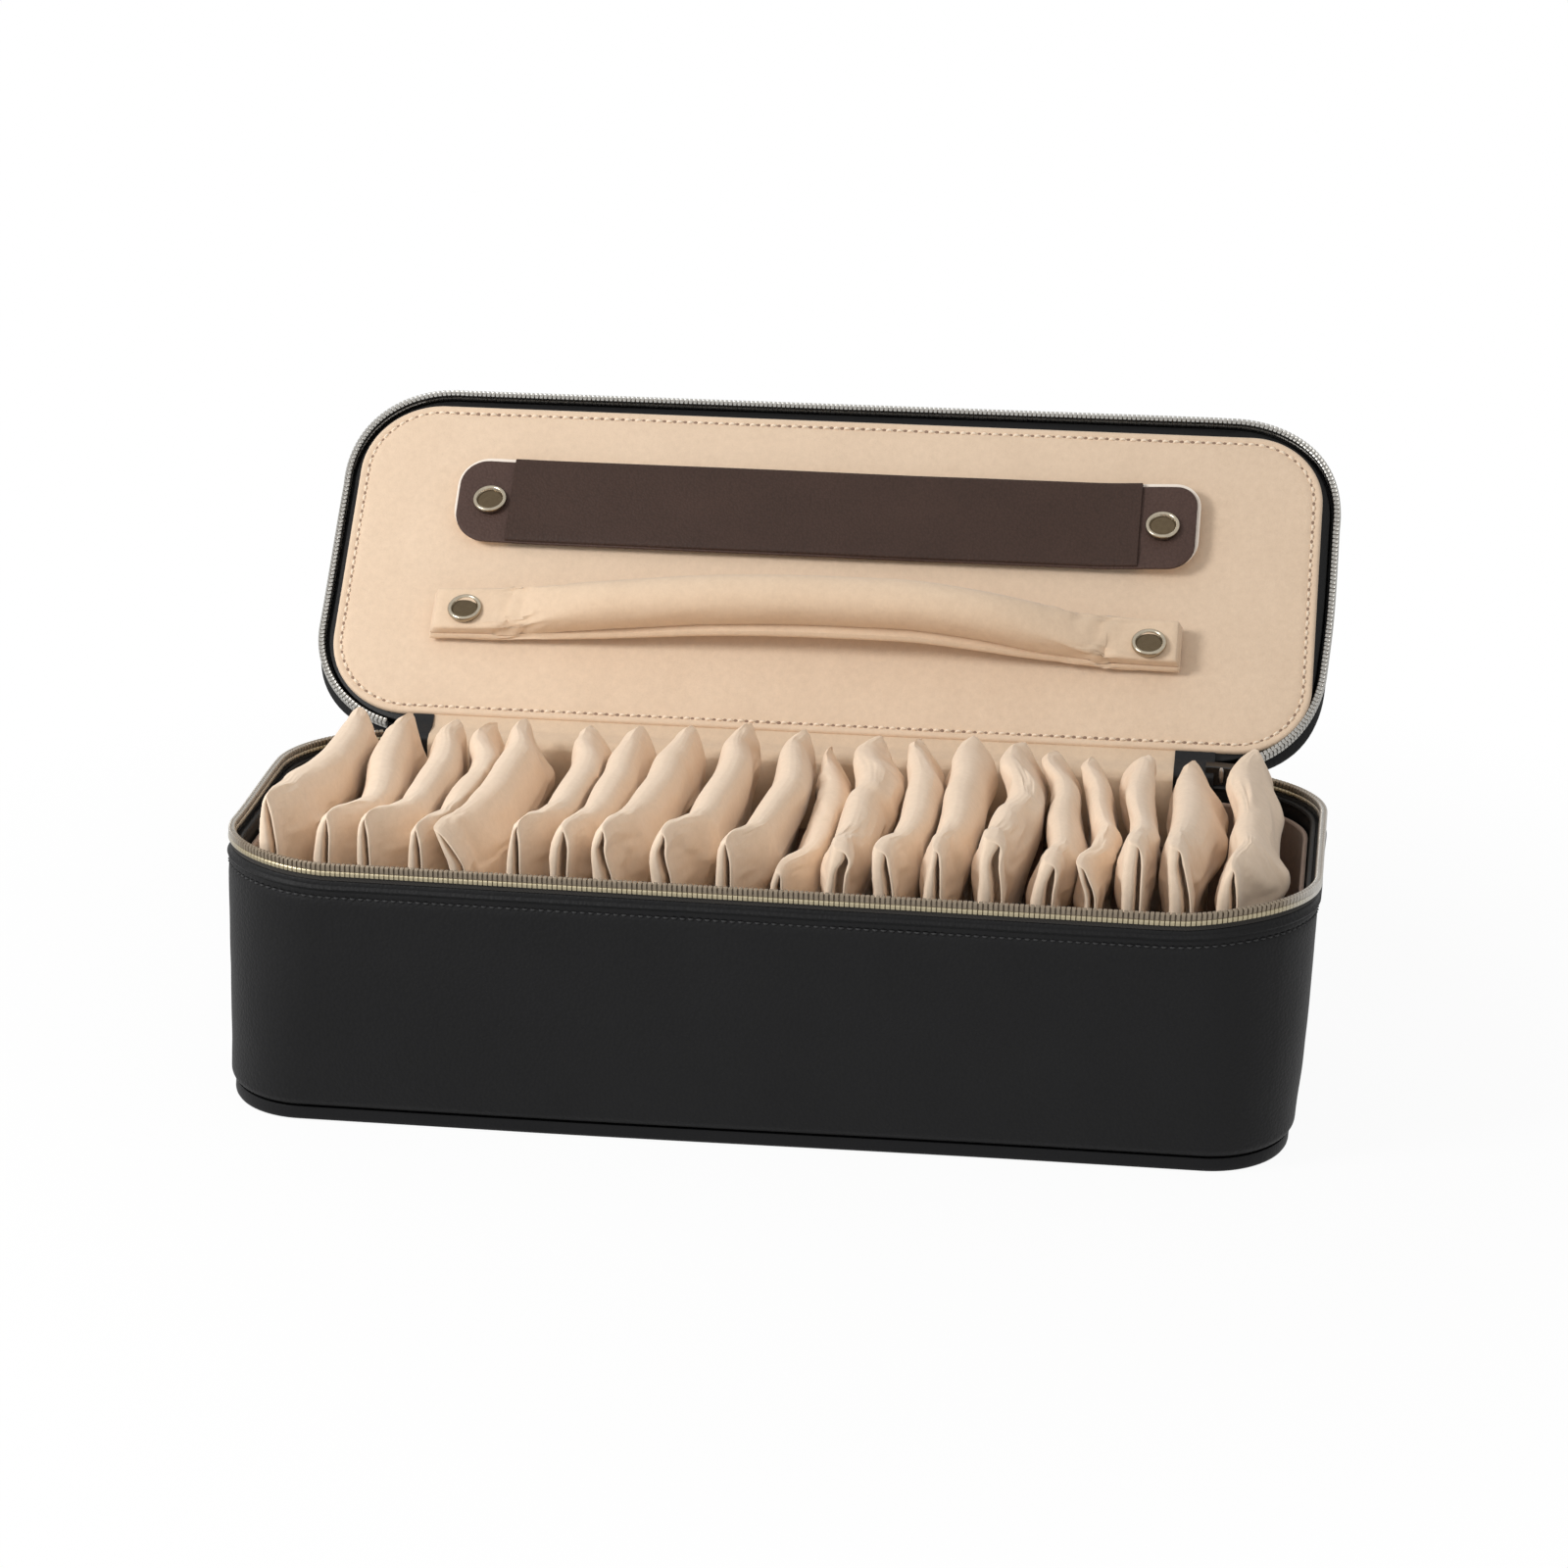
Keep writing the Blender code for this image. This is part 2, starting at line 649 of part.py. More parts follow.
# Earring strap: a dark leather face on a beige backing, held by two snaps,
# with a leather sleeve wrapped round its middle
strap = empty("strap_lift", (0.0, 0.0, 0.0), lid)
stud_high = -GAP
stud_low = stud_high - STUD_THICKNESS
backing_high = stud_low - GAP
backing_low = backing_high - STRAP_BACKING_THICKNESS
face_high = backing_low - GAP / 2
face_low = face_high - STRAP_FACE_THICKNESS
strap_snaps = (strap_left + STRAP_SNAP_INSET, strap_right - STRAP_SNAP_INSET)
strap_holes = [(x, strap_y, SNAP_HOLE_RADIUS) for x in strap_snaps]
holed_strip(
    "strap_backing", strap_left, strap_right, strap_y, STRAP_WIDTH, STRAP_CORNER,
    backing_low, backing_high, strap_holes, SUEDE, strap,
)
holed_strip(
    "strap_face", strap_left + STRAP_BORDER, strap_right - STRAP_BORDER, strap_y,
    STRAP_WIDTH - 2 * STRAP_BORDER, STRAP_CORNER - STRAP_BORDER,
    face_low, face_high, strap_holes, STRAP, strap,
)


def sleeve_ring(x, grow):
    """The sleeve's section round the strap, with rounded folds top and bottom."""
    half = STRAP_WIDTH / 2 + GAP + grow
    back = backing_high + GAP + grow
    front = face_low - GAP - grow
    fold = min(SLEEVE_FOLD + grow, (back - front) / 2)
    points = []
    corners = (
        (strap_y + half - fold, back - fold, 0),
        (strap_y - half + fold, back - fold, 90),
        (strap_y - half + fold, front + fold, 180),
        (strap_y + half - fold, front + fold, 270),
    )
    for y, z, start in corners:
        for step in range(4):
            angle = math.radians(start + 90.0 * step / 3)
            points.append((x, y + fold * math.cos(angle), z + fold * math.sin(angle)))
    return points


sleeve_left = strap_left + SLEEVE_LEFT_MARGIN
sleeve_right = strap_right - SLEEVE_RIGHT_MARGIN
sleeve_loops = [
    sleeve_ring(sleeve_left, SLEEVE_THICKNESS),
    sleeve_ring(sleeve_right, SLEEVE_THICKNESS),
    sleeve_ring(sleeve_right, 0.0),
    sleeve_ring(sleeve_left, 0.0),
]
loft("strap_sleeve", sleeve_loops, STRAP, strap, closed=True, smooth=False)


def circle(radius, level, x, y, steps=16):
    return [
        (
            x + radius * math.cos(math.tau * step / steps),
            y + radius * math.sin(math.tau * step / steps),
            level,
        )
        for step in range(steps)
    ]


def snap_cap(name, x, y, seat, end, parent):
    """A domed cap with the post that passes through the leather."""
    under = seat - GAP / 2
    loops = [
        circle(SNAP_POST_RADIUS, end, x, y),
        circle(SNAP_POST_RADIUS, under, x, y),
        circle(SNAP_RADIUS, under, x, y),
        circle(SNAP_RADIUS, under - SNAP_RIM, x, y),
    ]
    dome = SNAP_HEIGHT - SNAP_RIM
    for share in (0.30, 0.58, 0.82):
        angle = share * math.pi / 2
        level = under - SNAP_RIM - dome * math.sin(angle)
        loops.append(circle(SNAP_RADIUS * math.cos(angle), level, x, y))
    return loft(name, loops, GOLD, parent)


def snap_stud(name, x, y, low, high, parent):
    """The ring that the cap's post presses into, fixed to the panel."""
    loops = [
        circle(SNAP_STUD_RADIUS, low, x, y),
        circle(SNAP_STUD_RADIUS, high, x, y),
        circle(SNAP_STUD_BORE, high, x, y),
        circle(SNAP_STUD_BORE, low, x, y),
    ]
    return loft(name, loops, NICKEL, parent, closed=True)


post_end = stud_high - STUD_THICKNESS / 3
for word, x in zip(("left", "right"), strap_snaps):
    snap_cap(f"strap_cap_{word}", x, strap_y, face_low, post_end, strap)
    snap_stud(f"strap_stud_{word}", x, strap_y, stud_low, stud_high, lid)

# Ring roll: a stuffed tube with flat square ends, arched off the panel
roll = empty("roll_lift", (0.0, 0.0, 0.0), lid)
roll_back = stud_low - GAP
roll_snaps = (roll_left + ROLL_SNAP_INSET, roll_right - ROLL_SNAP_INSET)


def roll_section(x):
    """Centre and sixteen points of the roll at one station."""
    from_end = min(x - roll_left, roll_right - x)
    swell = (from_end - ROLL_FLAT_LENGTH) / ROLL_SWELL_LENGTH
    swell = max(0.0, min(1.0, swell))
    swell = swell * swell * (3 - 2 * swell)
    arch_span = (roll_right - roll_left) / 2 - ROLL_FLAT_LENGTH
    arch = max(0.0, min(1.0, (from_end - ROLL_FLAT_LENGTH) / arch_span))
    arch = math.sin(arch * math.pi / 2) ** 0.8 if arch else 0.0
    flat_stand = -(roll_back - ROLL_END_THICKNESS / 2)
    stand = flat_stand + (ROLL_MIDDLE_STAND - flat_stand) * max(arch, swell * 0.75)
    half_wide = ROLL_END_WIDTH / 2 + (ROLL_RADIUS - ROLL_END_WIDTH / 2) * swell
    half_thick = ROLL_END_THICKNESS / 2 + (ROLL_RADIUS - ROLL_END_THICKNESS / 2) * swell
    centre_y = roll_y - ROLL_BOW * arch
    power = 0.22 + 0.78 * swell
    points = []
    for step in range(16):
        angle = math.tau * (step + 0.5) / 16
        cosine, sine = math.cos(angle), math.sin(angle)
        wide = math.copysign(abs(cosine) ** power, cosine)
        thick = math.copysign(abs(sine) ** power, sine)
        points.append((x, centre_y + half_wide * wide, -stand + half_thick * thick))
    return points


roll_marks = [roll_left, roll_left + ROLL_FLAT_LENGTH]
for share in (0.25, 0.5, 0.75, 1.0):
    roll_marks.append(roll_left + ROLL_FLAT_LENGTH + ROLL_SWELL_LENGTH * share)
inner_left = roll_marks[-1]
inner_right = roll_right - ROLL_FLAT_LENGTH - ROLL_SWELL_LENGTH
for share in (0.2, 0.4, 0.6, 0.8, 1.0):
    roll_marks.append(inner_left + (inner_right - inner_left) * share)
for share in (0.25, 0.5, 0.75, 1.0):
    roll_marks.append(inner_right + ROLL_SWELL_LENGTH * share)
roll_marks.append(roll_right)


def bored(made, holes, low, high, parent):
    """Cuts a round hole through a piece at each snap."""
    for x, y in holes:
        mesh = bmesh.new()
        rings = [add_loop(mesh, circle(SNAP_HOLE_RADIUS, level, x, y, 12)) for level in (low, high)]
        bridge(mesh, *rings)
        mesh.faces.new(rings[0][::-1])
        mesh.faces.new(rings[1])
        cutter = finish(f"{made.name}_cutter", mesh, NICKEL, parent, smooth=False)
        cutter.hide_render = True
        cutter.display_type = "WIRE"
        cut = made.modifiers.new("hole", "BOOLEAN")
        cut.operation = "DIFFERENCE"
        cut.solver = "EXACT"
        cut.object = cutter


ring_roll = loft("ring_roll", [roll_section(x) for x in roll_marks], SUEDE, roll)
roll_holes = [(x, roll_y) for x in roll_snaps]
roll_face = roll_back - ROLL_END_THICKNESS
bored(ring_roll, roll_holes, roll_face - ROLL_END_THICKNESS, 0.0, roll)
for word, x in zip(("left", "right"), roll_snaps):
    snap_cap(f"roll_cap_{word}", x, roll_y, roll_face, post_end, roll)
    snap_stud(f"roll_stud_{word}", x, roll_y, stud_low, stud_high, lid)

# Slider, curved to the corner that it runs round, and its hanging pull
slider_turn = empty("slider_turn", (arc_centre_x, arc_centre_y, 0.0), case)


def arc_channel(name, from_angle, to_angle, look, parent):
    """The slider's body: an upside-down channel over the lower teeth."""
    mesh = bmesh.new()
    outer = RIM_CORNER_RADIUS + GAP + SLIDER_PLATE
    outer_in = RIM_CORNER_RADIUS + GAP
    inner_out = RIM_CORNER_RADIUS - TEETH_THICKNESS - GAP
    inner = inner_out - SLIDER_PLATE
    foot = RIM_HEIGHT - SLIDER_FOOT_DROP
    under = RIM_HEIGHT + SLIDER_TOP_RISE
    top = under + SLIDER_BRIDGE
    waist = SLIDER_PLATE / 3
    section = [
        (outer, foot), (outer, top - waist), (outer - waist, top),
        (inner + waist, top), (inner, top - waist), (inner, foot),
        (inner_out, foot), (inner_out, under), (outer_in, under), (outer_in, foot),
    ]
    rings = []
    steps = 6
    for step in range(steps + 1):
        angle = from_angle + (to_angle - from_angle) * step / steps
        sine, cosine = math.sin(angle), math.cos(angle)
        rings.append(add_loop(mesh, [(r * sine, r * cosine, z) for r, z in section]))
    for lower, upper in zip(rings, rings[1:]):
        bridge(mesh, lower, upper)
    mesh.faces.new(rings[0][::-1])
    mesh.faces.new(rings[-1])
    return finish(name, mesh, look, parent, smooth=False)


slider = arc_channel(
    "zip_slider", SLIDER_ANGLE - SLIDER_HALF_ANGLE, SLIDER_ANGLE + SLIDER_HALF_ANGLE,
    NICKEL, slider_turn,
)
plate_outer = RIM_CORNER_RADIUS + GAP + SLIDER_PLATE
pivot_reach = plate_outer + GAP + PULL_EYE_RADIUS
pivot_z = RIM_HEIGHT - PULL_PIVOT_DROP
lug_frame = Matrix.Rotation(-SLIDER_ANGLE, 4, "Z")


def boxed(low_corner, high_corner):
    """Twelve triangles of a box between two corners."""
    mesh = bmesh.new()
    bmesh.ops.create_cube(mesh, size=1.0)
    low_corner, high_corner = Vector(low_corner), Vector(high_corner)
    for vert in mesh.verts:
        for axis in range(3):
            middle = (low_corner[axis] + high_corner[axis]) / 2
            vert.co[axis] = middle + vert.co[axis] * (high_corner[axis] - low_corner[axis])
    return mesh


def join_to(target, mesh, name, matrix):
    """Joins a closed solid to a piece by a union."""
    bmesh.ops.transform(mesh, matrix=matrix, verts=mesh.verts)
    tool = finish(name, mesh, NICKEL, slider_turn, smooth=False)
    tool.hide_render = True
    tool.display_type = "WIRE"
    join = target.modifiers.new("join", "BOOLEAN")
    join.operation = "UNION"
    join.solver = "EXACT"
    join.object = tool


lug_top = RIM_HEIGHT - SLIDER_FOOT_DROP + SLIDER_PLATE
lug_low = RIM_HEIGHT - LUG_FOOT_DROP
join_to(
    slider,
    boxed(
        (-LUG_HALF_WIDTH, RIM_CORNER_RADIUS + GAP * 1.5, lug_low),
        (LUG_HALF_WIDTH, plate_outer - GAP / 3, lug_top),
    ),
    "lug_plate", lug_frame,
)
for word, side in (("near", -1), ("far", 1)):
    inner_x = side * (LUG_HALF_WIDTH - LUG_EAR)
    outer_x = side * (LUG_HALF_WIDTH - GAP / 3)
    join_to(
        slider,
        boxed(
            (min(inner_x, outer_x), plate_outer - SLIDER_PLATE / 2, lug_low + GAP / 2),
            (max(inner_x, outer_x), plate_outer + LUG_REACH, lug_top - GAP),
        ),
        f"lug_ear_{word}", lug_frame,
    )
pin = bmesh.new()
pin_rings = []
for end_x in (-LUG_HALF_WIDTH + LUG_EAR / 2, LUG_HALF_WIDTH - LUG_EAR / 2):
    pin_rings.append(add_loop(pin, [
        (
            end_x,
            pivot_reach + PULL_PIN_RADIUS * math.cos(math.tau * step / 10),
            pivot_z + PULL_PIN_RADIUS * math.sin(math.tau * step / 10),
        )
        for step in range(10)
    ]))
bridge(pin, *pin_rings)
pin.faces.new(pin_rings[0][::-1])
pin.faces.new(pin_rings[1])
join_to(slider, pin, "lug_pin", lug_frame)

# Pull: an eye round the pin, a neck and a flat tab that hangs down
pull_frame = empty("pull_swing", (
    pivot_reach * math.sin(SLIDER_ANGLE),
    pivot_reach * math.cos(SLIDER_ANGLE),
    pivot_z,
), slider_turn)
pull_frame.rotation_euler = (0.0, 0.0, -SLIDER_ANGLE)


def pull_mesh():
    """Side view swept across its width: the eye is a ring, the tab is flat."""
    mesh = bmesh.new()
    steps = 12
    half = PULL_EYE_WIDTH / 2
    loops = []
    for side in (-half, half):
        for radius in (PULL_EYE_RADIUS, PULL_EYE_BORE):
            loops.append(add_loop(mesh, [
                (
                    side,
                    radius * math.cos(math.tau * (step + 0.5) / steps - math.pi / 2),
                    radius * math.sin(math.tau * (step + 0.5) / steps - math.pi / 2),
                )
                for step in range(steps)
            ]))
    near_outer, near_inner, far_outer, far_inner = loops
    bridge(mesh, near_outer, far_outer)
    bridge(mesh, far_outer, far_inner)
    bridge(mesh, far_inner, near_inner)
    bridge(mesh, near_inner, near_outer)
    return mesh


pull = finish("zip_pull", pull_mesh(), NICKEL, pull_frame, smooth=False)
tab = bmesh.new()
half_tab, half_neck = PULL_WIDTH / 2, PULL_EYE_WIDTH / 2
tab_points = [(-half_neck, -PULL_EYE_BORE - GAP), (-half_neck, -PULL_NECK)]
tab_points += [(-half_tab, -PULL_NECK - PULL_TIP_ROUND)]
for step in range(5):
    angle = math.pi + math.pi / 2 * step / 4
    tab_points.append((
        -half_tab + PULL_TIP_ROUND + PULL_TIP_ROUND * math.cos(angle),
        -PULL_LENGTH + PULL_TIP_ROUND + PULL_TIP_ROUND * math.sin(angle),
    ))
tab_points += [(-x, z) for x, z in reversed(tab_points)]
tab_rings = []
for side in (-PULL_THICKNESS / 2, PULL_THICKNESS / 2):
    tab_rings.append(add_loop(tab, [(x, side, z) for x, z in tab_points]))
bridge(tab, *tab_rings)
tab.faces.new(tab_rings[0][::-1])
tab.faces.new(tab_rings[1])
tab_tool = finish("pull_tab", tab, NICKEL, pull_frame, smooth=False)
tab_tool.hide_render = True
tab_tool.display_type = "WIRE"
join_tab = pull.modifiers.new("join", "BOOLEAN")
join_tab.operation = "UNION"
join_tab.solver = "EXACT"
join_tab.object = tab_tool

# Pouches: each one stands on edge, front to back, with its mouth at the front.
# Tables are in shares of the body's width, and of the rim height for rises.
FRONT_X_SHARES = (
    -0.4340, -0.3850, -0.3430, -0.3020, -0.2690, -0.2090, -0.1690, -0.1290, -0.0740,
    -0.0190, 0.0270, 0.0830, 0.1240, 0.1690, 0.2180, 0.2650, 0.3020, 0.3450, 0.3830, 0.4290,
)
BACK_X_SHARES = (
    -0.4290, -0.3830, -0.3390, -0.3000, -0.2650, -0.2090, -0.1600, -0.1120, -0.0530,
    -0.0030, 0.0310, 0.0740, 0.1150, 0.1610, 0.2070, 0.2460, 0.2800, 0.3320, 0.3740, 0.4290,
)
FRONT_RISE_SHARES = (
    0.157, 0.155, 0.132, 0.132, 0.147, 0.165, 0.128, 0.125, 0.111, 0.162,
    0.085, 0.118, 0.157, 0.138, 0.175, 0.132, 0.170, 0.142, 0.165, 0.160,
)
BACK_RISE_SHARES = (
    0.127, 0.112, 0.095, 0.100, 0.119, 0.100, 0.104, 0.118, 0.146, 0.104,
    0.075, 0.128, 0.112, 0.139, 0.118, 0.101, 0.090, 0.096, 0.090, 0.125,
)
MOUTH_SHARES = (
    0.34, 0.42, 0.36, 0.34, 0.40, 0.42, 0.44, 0.46, 0.36, 0.38,
    0.44, 0.40, 0.42, 0.36, 0.44, 0.46, 0.42, 0.40, 0.38, 0.36,
)
# Plan width from front to back, as station and width shares
PLAN_SHARES = (
    (0.0, 0.62), (0.13, 0.76), (0.34, 1.0), (0.58, 0.98), (0.78, 0.72), (0.92, 0.38), (1.0, 0.10),
)
# Upright width from floor to crown, as height and width shares
CROWN_SHARES = (
    (0.0, 0.72), (0.05, 0.94), (0.40, 1.0), (0.72, 1.0), (0.84, 0.93),
    (0.92, 0.76), (0.97, 0.50), (1.0, 0.16),
)
SAG_SHARE = 0.018
CROWN_DIP_SHARE = 0.10
MOUTH_TOP_SHARE = 0.93
MOUTH_CLOSING_SHARE = 0.12
MOUTH_WIDEST_SHARE = 0.3
MOUTH_TAPER_SHARE = 0.6
pouch_floor = floor_low + LINING_FLOOR + POUCH_FLOOR_GAP
pouch_front = -half_depth + POUCH_FRONT_GAP
pouch_back = half_depth - POUCH_BACK_GAP
count = len(FRONT_X_SHARES)


def pouch_middle(index, y, z):
    """Where pouch number index has its middle at one depth and height."""
    foot = pouch_first_x * (1 - 2 * index / (count - 1))
    if index < 0 or index >= count:
        return foot
    along = (y - pouch_front) / (pouch_back - pouch_front)
    front = FRONT_X_SHARES[index] * BODY_WIDTH
    back = BACK_X_SHARES[index] * BODY_WIDTH
    crown = front + (back - front) * along
    rise = max(0.0, min(1.0, (z - pouch_floor) / (RIM_HEIGHT - pouch_floor)))
    rise = rise * rise * (3 - 2 * rise)
    return foot + (crown - foot) * rise


def tray_limit(x, z):
    """How far back or forward the tray's inside reaches beside a wall."""
    inset = STRIP_INSET + STRIP_THICKNESS + POUCH_WALL_GAP
    radius = corner_radius(z) - inset
    centre_x = BODY_WIDTH / 2 - corner_radius(z)
    beyond = max(0.0, abs(x) - centre_x)
    reach = math.sqrt(max(0.0, radius * radius - beyond * beyond))
    return half_depth - corner_radius(z) + reach


def pouch_point(index, level, station, side):
    """One point of a pouch: its level and station are (place, width) shares."""
    height_share, width_share = level
    station_share, plan_share = station
    front_rise = FRONT_RISE_SHARES[index] * RIM_HEIGHT
    back_rise = BACK_RISE_SHARES[index] * RIM_HEIGHT
    side_wall = BODY_WIDTH / 2 - LINING_INSET - LINING_THICKNESS - POUCH_WALL_GAP
    y = pouch_front + (pouch_back - pouch_front) * station_share
    top = RIM_HEIGHT + front_rise + (back_rise - front_rise) * station_share
    top -= SAG_SHARE * RIM_HEIGHT * math.sin(math.pi * station_share)
    crown_dip = CROWN_DIP_SHARE * math.sin(math.pi * station_share) * max(0.0, height_share - 0.9)
    z = pouch_floor + (top - pouch_floor) * height_share * (1 - crown_dip)
    middle = pouch_middle(index, y, z)
    half = max(POUCH_HALF_THICKNESS * plan_share * width_share, POUCH_HALF_THINNEST)
    left = middle - half
    right = middle + half
    if index > 0:
        edge = (pouch_middle(index - 1, y, z) + middle) / 2 + POUCH_SIDE_GAP / 2
        left = max(left, edge)
    else:
        left = max(left, -side_wall)
    if index < count - 1:
        edge = (pouch_middle(index + 1, y, z) + middle) / 2 - POUCH_SIDE_GAP / 2
        right = min(right, edge)
    else:
        right = min(right, side_wall)
    if right - left < 2 * POUCH_HALF_THINNEST:
        centre = (left + right) / 2
        left, right = centre - POUCH_HALF_THINNEST, centre + POUCH_HALF_THINNEST
    x = left + (right - left) * side
    limit = tray_limit(x, z)
    return Vector((x, max(-limit, min(limit, y)), z))


def pouch_mouth(index, height_share, left_front, right_front):
    """The slit between the two leaves at the front, closed over by the crown."""
    opened = max(0.0, min(1.0, (MOUTH_TOP_SHARE - height_share) / MOUTH_CLOSING_SHARE))
    width = POUCH_MOUTH_CLOSED + (POUCH_MOUTH_WIDTH - POUCH_MOUTH_CLOSED) * opened
    depth = POUCH_MOUTH_CLOSED + (POUCH_MOUTH_DEPTH - POUCH_MOUTH_CLOSED) * opened
    width = min(width, (right_front.x - left_front.x) * MOUTH_WIDEST_SHARE)
    centre = left_front.lerp(right_front, MOUTH_SHARES[index])
    half = Vector((width / 2, 0.0, 0.0))
    inner_half = half * MOUTH_TAPER_SHARE
    inward = Vector((0.0, depth, 0.0))
    return [centre + half, centre + inner_half + inward, centre - inner_half + inward, centre - half]


def pouch(index):
    """One padded sleeve as rings of plan outline, from its foot to its crown."""
    loops = []
    for level in CROWN_SHARES:
        left_side = [pouch_point(index, level, station, 0.0) for station in PLAN_SHARES]
        right_side = [pouch_point(index, level, station, 1.0) for station in PLAN_SHARES]
        mouth = pouch_mouth(index, level[0], left_side[0], right_side[0])
        loops.append([tuple(point) for point in mouth + left_side + right_side[::-1]])
    return loft(f"pouch_{index + 1:02d}", loops, POUCH, case)


for number in range(count):
    pouch(number)
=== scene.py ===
# Travel jewelry box, dressed: leather case, zip, suede lid panel, strap, ring roll and pouches.
import math

import bmesh
import bpy
import numpy as np
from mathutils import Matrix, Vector, noise


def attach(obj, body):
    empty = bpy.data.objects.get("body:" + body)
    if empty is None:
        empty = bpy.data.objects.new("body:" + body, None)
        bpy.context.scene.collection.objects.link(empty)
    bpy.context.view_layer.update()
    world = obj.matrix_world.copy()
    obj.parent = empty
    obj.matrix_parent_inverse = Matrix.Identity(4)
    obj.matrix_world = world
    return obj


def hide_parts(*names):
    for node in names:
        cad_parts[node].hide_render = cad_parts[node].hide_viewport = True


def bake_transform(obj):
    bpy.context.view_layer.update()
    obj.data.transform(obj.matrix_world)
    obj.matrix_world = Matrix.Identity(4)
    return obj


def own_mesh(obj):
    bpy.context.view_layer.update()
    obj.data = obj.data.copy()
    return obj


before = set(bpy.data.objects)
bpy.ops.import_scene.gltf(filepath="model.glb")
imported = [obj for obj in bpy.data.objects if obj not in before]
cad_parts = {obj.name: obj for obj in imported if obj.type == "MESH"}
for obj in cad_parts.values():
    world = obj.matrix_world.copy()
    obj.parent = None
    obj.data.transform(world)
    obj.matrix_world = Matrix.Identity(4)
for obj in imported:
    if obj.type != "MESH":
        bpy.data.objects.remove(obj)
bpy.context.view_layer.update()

MM = 0.001

# Case
BODY_WIDTH = 0.3200
BODY_DEPTH = 0.1230
RIM_HEIGHT = 0.0782
RIM_CORNER_RADIUS = 0.0357
FOOT_CORNER_RADIUS = 0.0262
HALF_WIDTH = BODY_WIDTH / 2
HALF_DEPTH = BODY_DEPTH / 2
BASE_THICKNESS = 0.0045
BASE_INSET = 0.0015
BASE_ROUND = 0.0016
SHELL_FOOT = 0.0048
WALL_THICKNESS = 0.0026
FLOOR_TOP = 0.0073
FLOOR_ROUND = 0.002
FOOT_ROUND = 0.0034
WALL_BELLY = 0.0006
ZIP_BAND = 0.0050
ZIP_SEAT = RIM_HEIGHT - ZIP_BAND
RIDGE_DROP = 0.0022
SEAM_DROP = 0.0049
# Pitch, length and radius of the seam's stitches, and how deep they sit
SEAM_STITCH = (0.0024, 0.0017, 0.00030)
SEAM_STITCH_INSET = 0.00030
LINING_TOP = 0.0692

# The soft case stands a little off its plan: how far its ends lie to the right, by height
LEAN_RIGHT = (
    (0.0, -0.0036), (0.017, -0.0028), (0.038, -0.0016), (0.052, -0.0006), (0.066, 0.0003), (0.0782, 0.0013),
)
LEAN_LEFT = ((0.0, 0.0004), (0.017, 0.0015), (0.038, 0.0016), (0.066, 0.0008), (0.0782, 0.0011))
RISE_FROM = 0.030
RISE_SIDE = 0.0020
RISE_FRONT = 0.0025
RISE_TILT = -0.0058
RISE_CORNER = 0.0008
RISE_RIGHT = 0.0012
FOOT_FORWARD = 0.0020

# Lid, in its own frame: the meeting plane is z 0 and the hinge is y 0
LID_ANGLE = math.radians(136.3)
HINGE_Y = 0.0619
LID_SHIFT = -HINGE_Y
LID_THICKNESS = 0.0120
LID_EDGE_ROUND = 0.0062
LID_FAR_SWELL = 0.0016
LID_CORNER_SWELL = (0.0024, 0.0019)
LID_HEEL_SWELL = 0.0020
LID_BACK_NARROW = 0.0018
PANEL_LEFT = -0.1547
PANEL_RIGHT = 0.1545
PANEL_FAR = -0.1174
PANEL_NEAR = -0.0058
PANEL_RADII = (0.0230, 0.0270, 0.0250, 0.0232)
PANEL_THICKNESS = 0.0018
PANEL_STITCH_INSET = 0.0027
PANEL_STITCH = (0.0034, 0.0024, 0.00046)

# Zip, measured down from the meeting plane
TOOTH_PITCH = 0.00145
ARC_CENTRE_X = HALF_WIDTH - RIM_CORNER_RADIUS
ARC_CENTRE_Y = HALF_DEPTH - RIM_CORNER_RADIUS
ZIP_END_X = 0.1205
ZIP_LEAD_ANGLE = math.radians(16.0)

# Places along the outline
CORNER_STEPS = 22
LONG_STEPS = 96
SHORT_STEPS = 24
LEAST_BEND = 0.0012

# Strap and ring roll, in the lid's frame
STRAP_LEFT = -0.1212
STRAP_RIGHT = 0.1168
STRAP_Y = LID_SHIFT - 0.0186
STRAP_WIDTH = 0.0293
STRAP_RADII = (0.0085, 0.0105, 0.0088, 0.0066)
ROLL_LEFT = -0.1208
ROLL_RIGHT = 0.1122
ROLL_Y = LID_SHIFT + 0.0226

# Camera, fitted to the photograph, whose side is PHOTO_SIZE pixels
PHOTO_SIZE = 1600
CAMERA_PLACE = Vector((0.17124, -1.18985, 0.54600))
CAMERA_FORWARD = Vector((-0.13166, 0.92557, -0.35494)).normalized()
CAMERA_LENS = 99.83
CAMERA_SENSOR = 36.0
CAMERA_RIGHT = CAMERA_FORWARD.cross(Vector((0.0, 0.0, 1.0))).normalized()
CAMERA_UP = CAMERA_RIGHT.cross(CAMERA_FORWARD)
CAMERA_REACH = CAMERA_LENS / CAMERA_SENSOR * PHOTO_SIZE


# Shader maths

